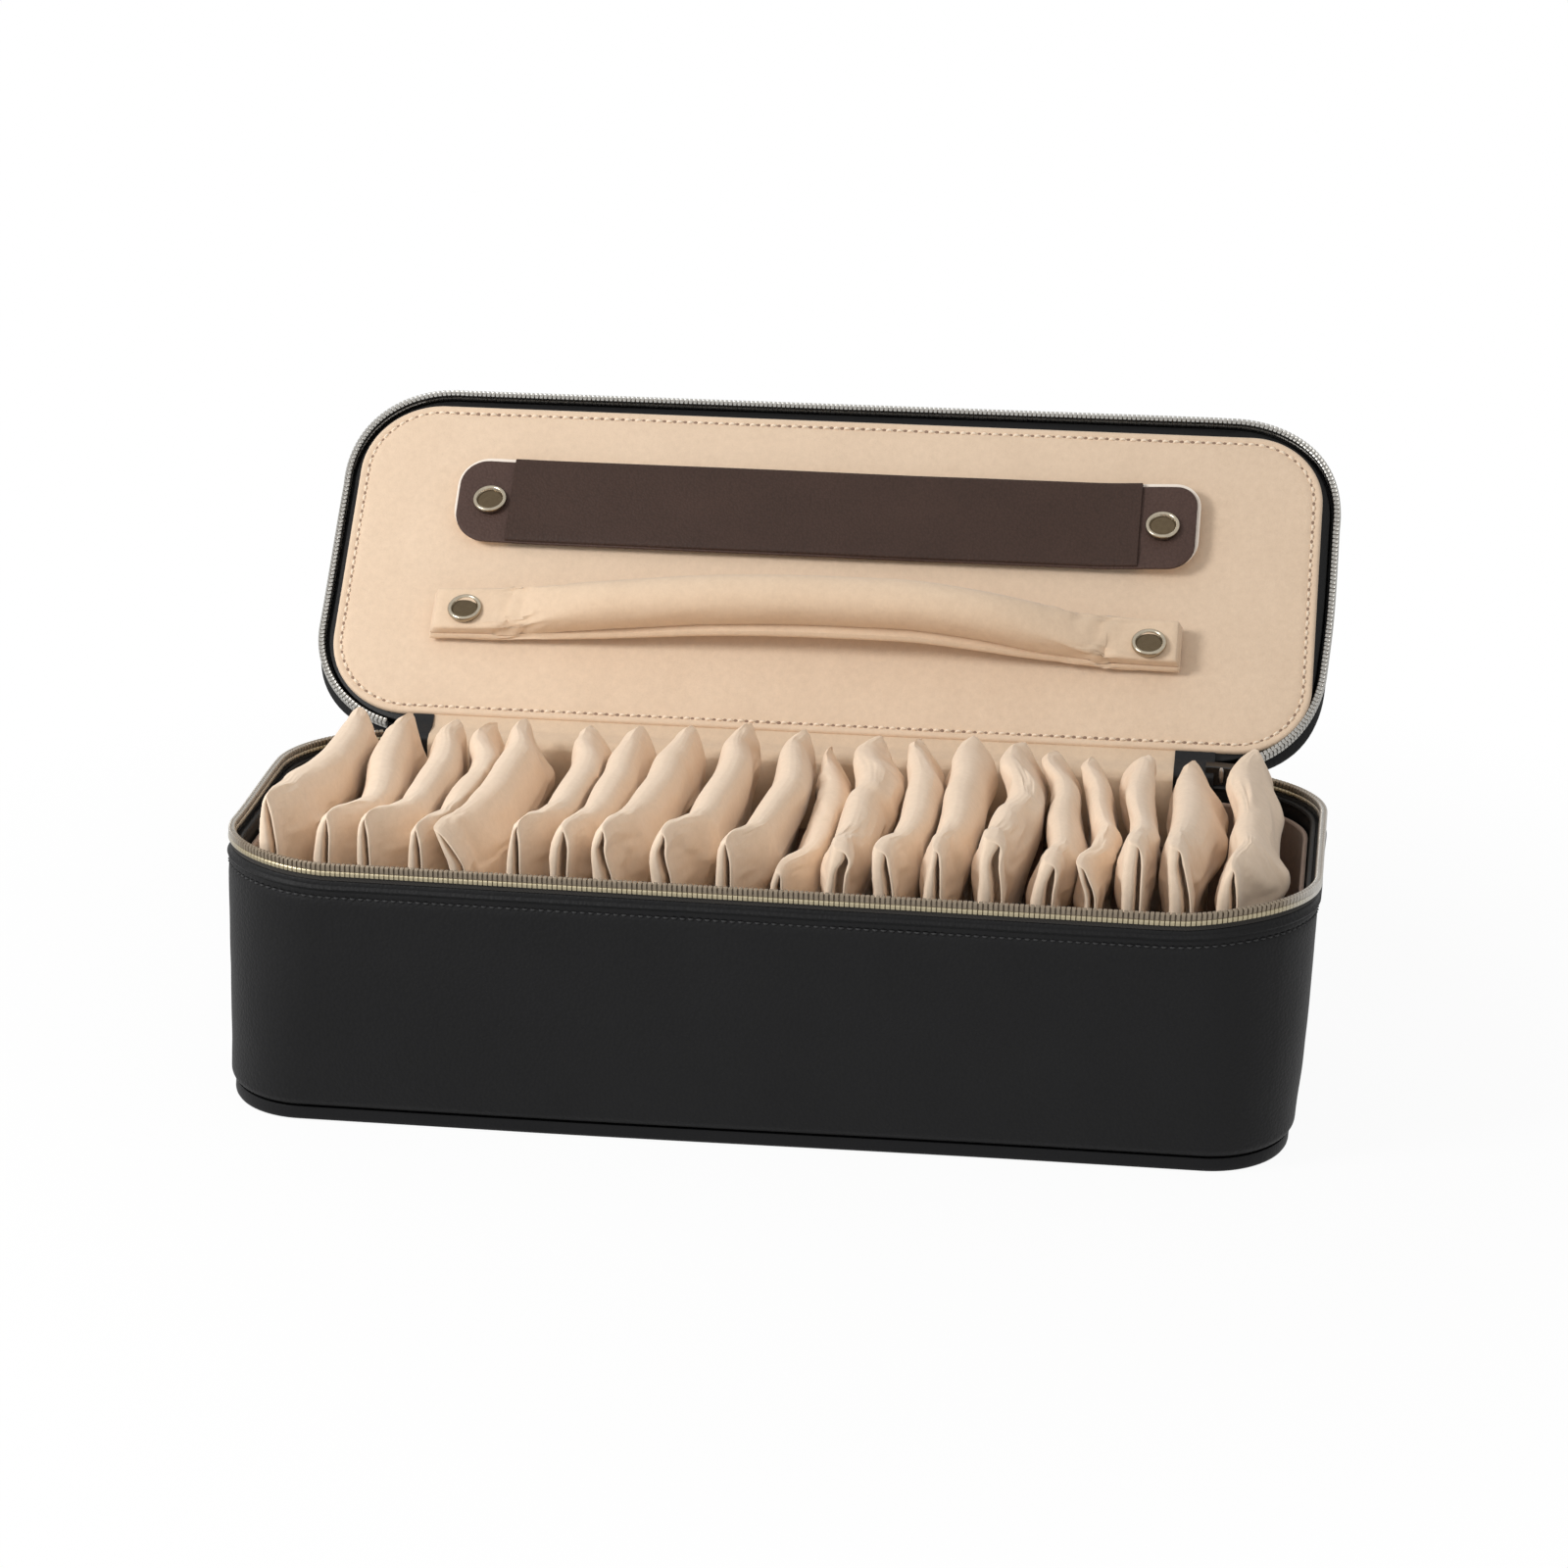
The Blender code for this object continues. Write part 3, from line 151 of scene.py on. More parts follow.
class Tone:
    """A value or colour on its way through one material's nodes."""

    def __init__(self, tree, socket):
        self.tree = tree
        self.socket = socket

    def node(self, kind, settings, sockets, output=0):
        """Adds one node: its settings first, then the values or links of its sockets."""
        made = self.tree.nodes.new(kind)
        for name, value in settings.items():
            if name == "stops":
                for stop, (place, colour) in zip(made.color_ramp.elements, value):
                    stop.position = place
                    stop.color = (*colour, 1.0)
            else:
                setattr(made, name, value)
        for name, value in sockets.items():
            if isinstance(value, Tone):
                self.tree.links.new(value.socket, made.inputs[name])
            else:
                made.inputs[name].default_value = value
        return Tone(self.tree, made.outputs[output])

    def sum(self, operation, first, second, clamp=False):
        settings = {"operation": operation, "use_clamp": clamp}
        return self.node("ShaderNodeMath", settings, {0: first, 1: second})

    def __add__(self, other):
        return self.sum("ADD", self, other)

    def __sub__(self, other):
        return self.sum("SUBTRACT", self, other)

    def __rsub__(self, other):
        return self.sum("SUBTRACT", other, self)

    def __mul__(self, other):
        return self.sum("MULTIPLY", self, other)

    def held(self):
        return self.sum("ADD", self, 0.0, clamp=True)

    def mixed(self, low, high):
        """The colour low where this value is 0, and high where it is 1."""
        settings = {"data_type": "RGBA"}
        low = low if isinstance(low, Tone) else (*low, 1.0)
        high = high if isinstance(high, Tone) else (*high, 1.0)
        return self.node("ShaderNodeMix", settings, {0: self, 6: low, 7: high}, 2)

    def clouds(self, size, detail=2.0, rough=0.5):
        """Soft noise whose lumps are about this size, from 0 to 1."""
        sockets = {"Vector": self, "Scale": 1.0 / size, "Detail": detail, "Roughness": rough}
        return self.node("ShaderNodeTexNoise", {}, sockets)

    def pebbles(self, size, smoothness=0.5):
        """Rounded cells about this size, 0 in their middles."""
        sockets = {"Vector": self, "Scale": 1.0 / size, "Smoothness": smoothness}
        return self.node("ShaderNodeTexVoronoi", {"feature": "SMOOTH_F1"}, sockets)

    def raised(self, depth):
        """A normal for a surface that stands this much higher where the value is 1."""
        return self.node("ShaderNodeBump", {}, {"Height": self, "Distance": depth, "Strength": 1.0})

    def stretched(self, x, y, z):
        return self.node(
            "ShaderNodeVectorMath", {"operation": "MULTIPLY"}, {0: self, 1: (x, y, z)},
        )


def new_finish(name):
    """A material, its surface node and the place that its patterns start from."""
    made = bpy.data.materials.new(name)
    made.use_nodes = True
    tree = made.node_tree
    surface = tree.nodes["Principled BSDF"]
    place = Tone(tree, tree.nodes.new("ShaderNodeTexCoord").outputs["Object"])
    return made, surface, place


def dress(made, surface, values):
    for name, value in values.items():
        if isinstance(value, Tone):
            made.node_tree.links.new(value.socket, surface.inputs[name])
        else:
            surface.inputs[name].default_value = value
    return made


def leather(name, light, dark, pebble, depth, roughness, specular):
    """Soft coated leather: fine pebble grain over broad, faint unevenness."""
    made, surface, place = new_finish(name)
    cells = place.pebbles(pebble)
    fine = place.clouds(pebble * 0.45, 3.0, 0.6)
    broad = place.clouds(22 * MM, 3.0, 0.55)
    patch = place.clouds(7 * MM, 2.0, 0.5)
    height = cells * -0.8 + fine * 0.35 + patch * 0.5
    return dress(made, surface, {
        "Base Color": (broad * 0.6 + cells * 0.5).held().mixed(light, dark),
        "Roughness": fine * 0.16 + roughness,
        "Specular IOR Level": specular,
        "Normal": height.raised(depth),
    })


def suede(name, light, dark, warm, nap=0.16 * MM, sheen=0.22):
    """Microsuede: a short nap with mottled, brushed patches."""
    made, surface, place = new_finish(name)
    fibres = place.clouds(0.55 * MM, 4.0, 0.7)
    mottle = place.clouds(2.1 * MM, 3.0, 0.6)
    brushed = place.stretched(1.0, 0.6, 0.6).clouds(16 * MM, 3.0, 0.55)
    tone = ((mottle - 0.5) * 1.5 + (fibres - 0.5) * 1.1 + (brushed - 0.5) * 0.9 + 0.5).held()
    blush = place.clouds(45 * MM, 1.0, 0.5)
    return dress(made, surface, {
        "Base Color": blush.mixed(tone.mixed(dark, light), tone.mixed(dark, warm)),
        "Roughness": fibres * 0.1 + 0.86,
        "Specular IOR Level": 0.12,
        "Sheen Weight": sheen,
        "Sheen Roughness": 0.5,
        "Normal": (fibres * 0.6 + mottle * 0.8).raised(nap),
    })


# Where the metal turns pale towards the case's ends, as a painted reflection of the bright surroundings, and
# how fast
PAINTED_SHEEN_FROM = 0.150
PAINTED_SHEEN_GAIN = 330.0


def metal(name, light, dark, roughness, painted_sheen=None):
    """Plated metal with faint cloudy wear. The last argument gives two paler colours for the case's ends, a
    painted reflection of the bright surroundings.
    """
    made, surface, place = new_finish(name)
    wear = place.clouds(1.4 * MM, 4.0, 0.65)
    rub = place.clouds(0.3 * MM, 2.0, 0.5)
    tone = wear.mixed(light, dark)
    if painted_sheen:
        across = place.node("ShaderNodeSeparateXYZ", {}, {"Vector": place})
        # Towards the case's ends the colour pales to the second pair of colours: a painted reflection
        tone = ((across * across - PAINTED_SHEEN_FROM ** 2) * PAINTED_SHEEN_GAIN).held().mixed(tone, wear.mixed(*painted_sheen))
    return dress(made, surface, {
        "Base Color": tone,
        "Metallic": 1.0,
        "Roughness": wear * 0.12 + rub * 0.08 + roughness,
        "Normal": rub.raised(0.01 * MM),
    })


def woven(name, light, dark, pitch, depth):
    """A close plain weave, for tape and thread."""
    made, surface, place = new_finish(name)
    waves = {"wave_type": "BANDS", "bands_direction": "DIAGONAL"}
    warp = place.node("ShaderNodeTexWave", waves, {"Vector": place, "Scale": 0.314 / pitch}, 1)
    lint = place.clouds(pitch, 2.0, 0.6)
    return dress(made, surface, {
        "Base Color": (warp * 0.6 + lint * 0.4).mixed(dark, light),
        "Roughness": lint * 0.1 + 0.8,
        "Normal": (warp + lint * 0.4).raised(depth),
    })


BLACK_LEATHER = leather(
    "black_leather", (0.0088, 0.0088, 0.0093), (0.0042, 0.0042, 0.0046),
    0.95 * MM, 0.16 * MM, 0.50, 0.20,
)
BASE_LEATHER = leather(
    "base_leather", (0.0062, 0.0062, 0.0070), (0.0032, 0.0032, 0.0037),
    0.80 * MM, 0.09 * MM, 0.48, 0.19,
)
FACING_LEATHER = leather(
    "facing_leather", (0.0085, 0.0085, 0.0090), (0.0042, 0.0042, 0.0046),
    0.70 * MM, 0.06 * MM, 0.44, 0.26,
)
BROWN_LEATHER = leather(
    "brown_leather", (0.098, 0.057, 0.046), (0.048, 0.027, 0.021),
    0.80 * MM, 0.16 * MM, 0.48, 0.20,
)
SLEEVE_LEATHER = leather(
    "sleeve_leather", (0.066, 0.036, 0.027), (0.031, 0.017, 0.012),
    0.80 * MM, 0.14 * MM, 0.46, 0.20,
)
PANEL_SUEDE = suede("panel_suede", (0.82, 0.64, 0.475), (0.72, 0.55, 0.40), (0.795, 0.61, 0.445))
POUCH_SUEDE = suede(
    "pouch_suede", (0.93, 0.755, 0.585), (0.83, 0.655, 0.490), (0.91, 0.715, 0.540), 0.10 * MM,
)
ROLL_SUEDE = suede("roll_suede", (0.80, 0.62, 0.45), (0.71, 0.535, 0.38), (0.78, 0.595, 0.425), 0.10 * MM)
# The lining's beige suede, made darker and browner as painted shade
LINING_SUEDE_AND_SHADE = suede("lining_suede", (0.60, 0.455, 0.375), (0.47, 0.35, 0.285), (0.55, 0.405, 0.325))
# The strap's beige backing, made paler than the panel's suede as a painted highlight along its edge
BACKING_SUEDE_AND_HIGHLIGHT = suede("backing_suede_and_highlight", (0.95, 0.86, 0.77), (0.88, 0.77, 0.66), (0.93, 0.83, 0.73), 0.06 * MM)
STRIP_SUEDE = suede("strip_suede", (0.75, 0.59, 0.43), (0.65, 0.50, 0.36), (0.73, 0.56, 0.405), 0.10 * MM)
PALE_GOLD = metal("pale_gold", (0.52, 0.46, 0.36), (0.32, 0.27, 0.20), 0.13)
# The snap caps' face: a dark copy of the plating, as painted reflection of dark surroundings
SNAP_FACE_PAINTED_REFLECTION = metal("snap_face_painted_reflection", (0.150, 0.112, 0.068), (0.095, 0.070, 0.042), 0.18)
# Pale silvery colours the zip's metal takes at the case's ends: a painted reflection of the bright
# surroundings
ZIP_PAINTED_SHEEN = ((0.58, 0.56, 0.52), (0.42, 0.40, 0.37))
ZIP_GOLD = metal("zip_gold", (0.50, 0.44, 0.31), (0.34, 0.29, 0.19), 0.32, ZIP_PAINTED_SHEEN)
ZIP_HEAD = metal("zip_head", (0.34, 0.285, 0.215), (0.20, 0.16, 0.12), 0.38, ZIP_PAINTED_SHEEN)
# The lid's half of the zip: the same metal made pale silver, a painted reflection of the bright surroundings
LID_ZIP_PAINTED_SHEEN = metal("lid_zip_painted_sheen", (0.50, 0.485, 0.455), (0.33, 0.32, 0.295), 0.30)
NICKEL = metal("nickel", (0.62, 0.60, 0.57), (0.44, 0.42, 0.40), 0.20)
GUNMETAL = metal("gunmetal", (0.075, 0.072, 0.070), (0.035, 0.034, 0.033), 0.24)
ZIP_TAPE = woven("zip_tape", (0.030, 0.026, 0.022), (0.010, 0.009, 0.008), 0.5 * MM, 0.05 * MM)
ZIP_BEAD = woven("zip_bead", (0.24, 0.195, 0.15), (0.12, 0.095, 0.072), 0.4 * MM, 0.03 * MM)
BLACK_THREAD = woven("black_thread", (0.050, 0.050, 0.052), (0.018, 0.018, 0.018), 0.3 * MM, 0.03 * MM)
PALE_THREAD = woven("pale_thread", (0.96, 0.82, 0.66), (0.82, 0.67, 0.51), 0.3 * MM, 0.03 * MM)
# Dark brown for the needle holes: painted shade
NEEDLE_HOLE_PAINTED_SHADE = woven("needle_hole_painted_shade", (0.36, 0.235, 0.165), (0.22, 0.14, 0.095), 0.3 * MM, 0.02 * MM)
FOAM = woven("padding_foam", (0.44, 0.42, 0.40), (0.34, 0.32, 0.30), 0.8 * MM, 0.1 * MM)


# Outlines and skins

def corner_radius(height):
    """The wall's corner in plan, squarer at the foot than at the rim."""
    share = min(1.0, max(0.0, height / RIM_HEIGHT))
    return FOOT_CORNER_RADIUS + (RIM_CORNER_RADIUS - FOOT_CORNER_RADIUS) * share


def rounded(left, right, low, high, radii, steps, long_run, short_run):
    """Places round an oblong whose corners differ, from its right side on, with outward directions."""
    signs = ((1, 1), (-1, 1), (-1, -1), (1, -1))
    centres = [
        np.array((right - bend if x > 0 else left + bend, high - bend if y > 0 else low + bend))
        for (x, y), bend in zip(signs, radii)
    ]
    places, outs = [], []
    for quarter in range(4):
        turn = quarter * math.pi / 2
        out = np.array((math.cos(turn), math.sin(turn)))
        start, end = centres[quarter - 1] + out * radii[quarter - 1], centres[quarter] + out * radii[quarter]
        sides = long_run if quarter % 2 else short_run
        for step in range(sides):
            places.append(start + (end - start) * step / sides)
            outs.append(out)
        for step in range(steps):
            angle = turn + math.pi / 2 * step / steps
            out = np.array((math.cos(angle), math.sin(angle)))
            places.append(centres[quarter] + out * radii[quarter])
            outs.append(out)
    return np.array(places), np.array(outs)


def outline(inset, radius):
    """Places round the case's rounded oblong, drawn in by an inset, with outward directions."""
    bend = max(radius - inset, LEAST_BEND)
    x, y = HALF_WIDTH - inset, HALF_DEPTH - inset
    return rounded(-x, x, -y, y, (bend,) * 4, CORNER_STEPS, LONG_STEPS, SHORT_STEPS)


def ring(inset, height, radius=None, shift=0.0):
    """The outline at one height, as points in space."""
    places, _ = outline(inset, corner_radius(height) if radius is None else radius)
    heights = np.full((len(places), 1), height)
    return np.hstack([places + (0.0, shift), heights])


def lid_ring(inset, height):
    return ring(inset, height, RIM_CORNER_RADIUS, LID_SHIFT)


def table_values(table, places):
    return np.interp(places, [row[0] for row in table], [row[1] for row in table])


def eased_all(shares):
    shares = np.clip(shares, 0.0, 1.0)
    return shares * shares * (3 - 2 * shares)


def front_corner(x, y):
    """1 at the middle of a front corner's arc, and 0 away from the front corners."""
    across = np.clip(np.abs(x) - ARC_CENTRE_X, 0.0, None)
    forward = np.clip(-ARC_CENTRE_Y - y, 0.0, None)
    return 2 * across * forward / RIM_CORNER_RADIUS ** 2


def rise(x, y):
    """How far the line where the halves meet stands above its plan, at a place on the case."""
    back = eased_all((HALF_DEPTH - y) / 0.050)
    front = eased_all((-y - 0.010) / 0.050)
    wanted = RISE_FRONT + RISE_TILT * x + RISE_RIGHT * eased_all((x - 0.115) / 0.030)
    lift = RISE_SIDE + (wanted - RISE_SIDE) * front + RISE_CORNER * front_corner(x, y)
    return lift * back


def settled(points):
    """The case's points after its soft walls have settled."""
    x, y, z = np.asarray(points, float).T
    lean = np.where(x > 0, table_values(LEAN_RIGHT, z), table_values(LEAN_LEFT, z))
    lift = rise(x, y) * eased_all((z - RISE_FROM) / (RIM_HEIGHT - RISE_FROM))
    forward = eased_all((0.090 - x) / 0.160) * eased_all(1 - z / 0.060) * np.clip(-y / HALF_DEPTH, 0.0, 1.0)
    return np.stack([x + lean * (x / HALF_WIDTH) ** 2, y - FOOT_FORWARD * forward, z + lift], axis=1)


def lid_settled(points):
    """The lid's points, drawn back along its edge to meet the settled case."""
    x, y, z = np.asarray(points, float).T
    depth = y + HINGE_Y
    back = rise(x, depth) * (1 - eased_all((z - ZIP_BAND) / (LID_THICKNESS - ZIP_BAND)))
    corner = front_corner(x, depth) * np.where(x > 0, LID_CORNER_SWELL[1], LID_CORNER_SWELL[0]) / math.sqrt(2)
    far = LID_FAR_SWELL * eased_all((-depth - 0.010) / 0.040)
    heel = LID_HEEL_SWELL * front_corner(x, -depth) * eased_all((z - ZIP_BAND) / 0.0030)
    narrow = LID_BACK_NARROW * eased_all((x - 0.100) / 0.050) * np.exp(-((y + 0.026) / 0.022) ** 2)
    across = np.sign(x) * (corner + heel)
    return np.stack([x + across - narrow, y - far - corner + heel * 0.5, z + back], axis=1)


def on_lid(points):
    """Turns points from the lid's frame to where the open lid holds them."""
    points = np.asarray(points, float)
    sine, cosine = math.sin(LID_ANGLE), math.cos(LID_ANGLE)
    y = HINGE_Y + points[:, 1] * cosine + points[:, 2] * sine
    z = RIM_HEIGHT - points[:, 1] * sine + points[:, 2] * cosine
    return np.stack([points[:, 0], y, z], axis=1)


def skin(rings, caps=(True, True), looped=False):
    """Points and faces over rings of equal count. looped joins the last ring to the first."""
    count = len(rings[0])
    points = np.vstack(rings)
    faces = []
    last = len(rings) if looped else len(rings) - 1
    for row in range(last):
        low, high = row * count, (row + 1) % len(rings) * count
        for index in range(count):
            after = (index + 1) % count
            faces.append((low + index, low + after, high + after, high + index))
    if caps[0] and not looped:
        faces.append(tuple(range(count))[::-1])
    if caps[1] and not looped:
        faces.append(tuple(range(len(points) - count, len(points))))
    return points, faces


def shaped(form, *moves):
    """A form whose points have gone through each of these moves."""
    points, faces = form
    for move in moves:
        points = move(points)
    return points, faces


def joined(parts):
    """Several sets of points and faces as one."""
    points, faces, count = [], [], 0
    for part_points, part_faces in parts:
        points.append(np.asarray(part_points, float))
        faces += [tuple(count + index for index in face) for face in part_faces]
        count += len(part_points)
    return np.vstack(points), faces


def added(name, data):
    """Puts one new object in the scene."""
    made = bpy.data.objects.new(name, data)
    bpy.context.scene.collection.objects.link(made)
    return made


def piece(name, form, finish, body, slot, nodes=(), sharp=math.radians(38)):
    """Makes one object of the finished case and says what carries it."""
    points, faces = form
    mesh = bpy.data.meshes.new(name)
    mesh.from_pydata([tuple(point) for point in points], [], faces)
    work = bmesh.new()
    work.from_mesh(mesh)
    bmesh.ops.recalc_face_normals(work, faces=work.faces)
    work.to_mesh(mesh)
    work.free()
    mesh.materials.append(finish)
    mesh.shade_smooth()
    mesh.set_sharp_from_angle(angle=sharp)
    made = added(name, mesh)
    if body:
        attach(made, body)
    if nodes:
        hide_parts(*nodes)
    return made


def waver(points, size, depth, seed=0.0):
    """Smooth unevenness, as one shift for each point."""
    shift = Vector((seed, seed * 0.7, -seed))
    return np.array([noise.noise(Vector(point) / size + shift) * depth for point in points])


def lid_skin(profile, caps=(True, True)):
    """A form over the lid's outline, from (inset, height) steps."""
    return skin([lid_ring(inset, height) for inset, height in profile], caps)


# Stitching

def stitch(centre, along, out, length, radius):
    """One short thread that arches out of the surface and dips in at both ends."""
    side = along.cross(out).normalized()
    rings = []
    for step in range(7):
        share = step / 3.0 - 1.0
        middle = centre + along * (length / 2 * share) + out * (radius * (0.9 - 1.5 * share * share))
        girth = radius * math.sqrt(1.05 - share * share)
        section = []
        for corner in range(6):
            angle = math.tau * corner / 6
            section.append(middle + side * (girth * math.cos(angle)) + out * (girth * math.sin(angle)))
        rings.append(np.array(section))
    return skin(rings)


def spaced(path, pitch, start):
    """Even places round a closed path: each place, its direction, and the span and share it lies at."""
    path = [Vector(point) for point in path]
    path.append(path[0])
    spans = [(after - before).length for before, after in zip(path, path[1:])]
    count = int(sum(spans) / pitch)
    step = sum(spans) / count
    index, passed = 0, 0.0
    for number in range(count):
        target = step * (number + start)
        while passed + spans[index] < target:
            passed += spans[index]
            index += 1
        share = (target - passed) / spans[index]
        along = (path[index + 1] - path[index]).normalized()
        yield path[index].lerp(path[index + 1], share), along, index, share


def stitches(path, outs, pitch, length, radius):
    """Threads set at an even pitch round a path, with the surface's outward directions."""
    outs = [Vector(out) for out in outs]
    outs.append(outs[0])
    parts = []
    for centre, along, index, share in spaced(path, pitch, 0.5):
        out = outs[index].lerp(outs[index + 1], share).normalized()
        parts.append(stitch(centre, along, out, length, radius))
    return joined(parts)


# Radius and height of a needle hole's rings, off the face
PRICK_RINGS = ((0.00066, -0.0002), (0.00066, 0.00006), (0.00044, 0.00018))
PRICK_SIDES = 8


def needle_holes(path, out, pitch):
    """The pricks between stitches, as flat little buttons set in the face, coloured dark as painted shade in
    the holes.
    """
    out = Vector(out)
    turns = [math.tau * corner / PRICK_SIDES for corner in range(PRICK_SIDES)]
    parts = []
    for centre, along, _, _ in spaced(path, pitch, 0.0):
        side = along.cross(out)
        parts.append(skin([
            np.array([
                centre + along * (radius * math.cos(turn)) + side * (radius * math.sin(turn)) + out * stand
                for turn in turns
            ])
            for radius, stand in PRICK_RINGS
        ]))
    return joined(parts)


# Case

def make_base():
    rings = [
        ring(BASE_INSET + BASE_ROUND, 0.0),
        ring(BASE_INSET + BASE_ROUND * 0.30, BASE_ROUND * 0.30),
        ring(BASE_INSET + BASE_ROUND * 0.08, BASE_ROUND * 0.62),
        ring(BASE_INSET, BASE_ROUND),
        ring(BASE_INSET, BASE_THICKNESS - BASE_ROUND * 0.5),
        ring(BASE_INSET + BASE_ROUND * 0.15, BASE_THICKNESS),
    ]
    piece("base_board", shaped(skin(rings), settled), BASE_LEATHER, "case", "base_leather", ["base_panel"])


def shell_profile():
    """The wall's inset at each height, from the rolled foot to the zip's seat."""
    profile = []
    for step in range(9):
        angle = math.pi / 2 * step / 8
        profile.append((
            FOOT_ROUND * (1 - math.sin(angle)),
            SHELL_FOOT + FOOT_ROUND * (1 - math.cos(angle)),
        ))
    seam = ZIP_SEAT - SEAM_DROP
    foot = SHELL_FOOT + FOOT_ROUND
    for step in range(1, 22):
        share = step / 22
        profile.append((-WALL_BELLY * math.sin(math.pi * share), foot + (seam - foot) * share))
    ridge = ZIP_SEAT - RIDGE_DROP
    profile += [
        (0.00005, seam - 0.0007),
        (0.00050, seam),
        (0.00005, seam + 0.0007),
        (0.00000, (seam + ridge) / 2),
        (0.00015, ridge - 0.0009),
        (-0.00025, ridge - 0.0004),
        (-0.00055, ridge),
        (0.00015, ridge + 0.0006),
        (0.00035, ridge + 0.0012),
        (0.00020, ZIP_SEAT - 0.0012),
        (0.00025, ZIP_SEAT - 0.0005),
        (0.00055, ZIP_SEAT - 0.0001),
        (0.00100, ZIP_SEAT),
    ]
    return profile


# Size, depth and seed of the wall's unevenness, and the height over which it sets in
SHELL_WAVES = ((0.034, 0.00042), (0.011, 0.00012, 5.0))
SHELL_WAVES_EASE = 0.012


def make_shell():
    """The leather-covered wall and floor, with a fold and a stitched seam below the zip."""
    rings = []
    for inset, height in shell_profile():
        points = ring(inset, height)
        _, outs = outline(inset, corner_radius(height))
        loose = min(1.0, max(0.0, (height - SHELL_FOOT) / SHELL_WAVES_EASE))
        push = sum(waver(points, *wave) for wave in SHELL_WAVES) * loose
        points[:, :2] += outs * push[:, None]
        rings.append(points)
    rings += [
        ring(WALL_THICKNESS, ZIP_SEAT),
        ring(WALL_THICKNESS, FLOOR_TOP + FLOOR_ROUND),
        ring(WALL_THICKNESS + FLOOR_ROUND, FLOOR_TOP),
    ]
    form = shaped(skin(rings), settled)
    piece("leather_shell", form, BLACK_LEATHER, "case", "black_leather", ["body_shell"])
    height = ZIP_SEAT - SEAM_DROP
    places, outs = outline(SEAM_STITCH_INSET, corner_radius(height))
    path = settled(np.hstack([places, np.full((len(places), 1), height)]))
    outs = np.hstack([outs, np.zeros((len(outs), 1))])
    piece("seam_stitches", stitches(path, outs, *SEAM_STITCH), BLACK_THREAD, "case", "black_leather")


FACING_LOW = RIM_HEIGHT - 0.0246
FACING_TOP = RIM_HEIGHT - 0.0040
LINING_FLOOR = FLOOR_TOP + 0.0003
# Side views of the facing and the lining: inset from the wall's face, and height
FACING_PROFILE = (
    (0.0034, FACING_LOW), (0.0030, FACING_LOW + 0.0004), (0.0029, FACING_TOP - 0.0030),
    (0.0026, FACING_TOP - 0.0008), (0.0028, FACING_TOP - 0.0002), (0.0034, FACING_TOP),
    (0.0040, FACING_TOP - 0.0002), (0.0043, FACING_TOP - 0.0008), (0.0041, FACING_TOP - 0.0014),
    (0.0037, FACING_TOP - 0.0018), (0.0036, FACING_TOP - 0.0030), (0.0038, FACING_LOW + 0.0004),
)
LINING_PROFILE = (
    (0.0030, LINING_FLOOR), (0.0030, FACING_LOW - 0.0030), (0.0042, FACING_LOW - 0.0006),
    (0.0044, LINING_TOP - 0.0008), (0.0046, LINING_TOP - 0.0002), (0.0051, LINING_TOP),
    (0.0057, LINING_TOP - 0.0002), (0.0059, LINING_TOP - 0.0008), (0.0056, LINING_TOP - 0.0014),
    (0.0050, LINING_FLOOR + 0.0045), (0.0056, LINING_FLOOR + 0.0024), (0.0076, LINING_FLOOR + 0.0015),
)


def make_lining():
    """The black facing with its rolled top, and the suede tray lining before it."""
    for name, profile, looped, finish, slot, node in (
        ("facing_band", FACING_PROFILE, True, FACING_LEATHER, "black_leather", "body_facing"),
        # the lining's darker suede is partly painted shade
        ("tray_lining", LINING_PROFILE, False, LINING_SUEDE_AND_SHADE, "lining_suede", "body_lining"),
    ):
        form = skin([ring(inset, height) for inset, height in profile], looped=looped)
        piece(name, shaped(form, settled), finish, "case", slot, [node])


def zip_walk(pitch, first, last):
    """Places, outward and onward directions along the zip, from the back's right round the front."""
    turn = RIM_CORNER_RADIUS * math.pi / 2
    lead = ARC_CENTRE_X - ZIP_END_X
    runs = [
        ("line", lead, (ZIP_END_X, HALF_DEPTH), 90.0),
        ("arc", turn, (ARC_CENTRE_X, ARC_CENTRE_Y), 90.0),
        ("line", 2 * ARC_CENTRE_Y, (HALF_WIDTH, ARC_CENTRE_Y), 0.0),
        ("arc", turn, (ARC_CENTRE_X, -ARC_CENTRE_Y), 0.0),
        ("line", 2 * ARC_CENTRE_X, (ARC_CENTRE_X, -HALF_DEPTH), -90.0),
        ("arc", turn, (-ARC_CENTRE_X, -ARC_CENTRE_Y), -90.0),
        ("line", 2 * ARC_CENTRE_Y, (-HALF_WIDTH, -ARC_CENTRE_Y), -180.0),
        ("arc", turn, (-ARC_CENTRE_X, ARC_CENTRE_Y), -180.0),
        ("line", lead, (-ARC_CENTRE_X, HALF_DEPTH), -270.0),
    ]
    length = sum(run[1] for run in runs)
    count = int((length - first - last) / pitch)
    step = (length - first - last) / count
    found = []
    for number in range(count + 1):
        distance = first + step * number
        for kind, span, start, heading in runs:
            if distance <= span:
                break
            distance -= span
        angle = math.radians(heading)
        if kind == "arc":
            angle -= distance / RIM_CORNER_RADIUS
        out = Vector((math.cos(angle), math.sin(angle), 0.0))
        along = Vector((out.y, -out.x, 0.0))
        place = Vector((*start, 0.0))
        place += out * RIM_CORNER_RADIUS if kind == "arc" else along * distance
        found.append((place, out, along))
    return found


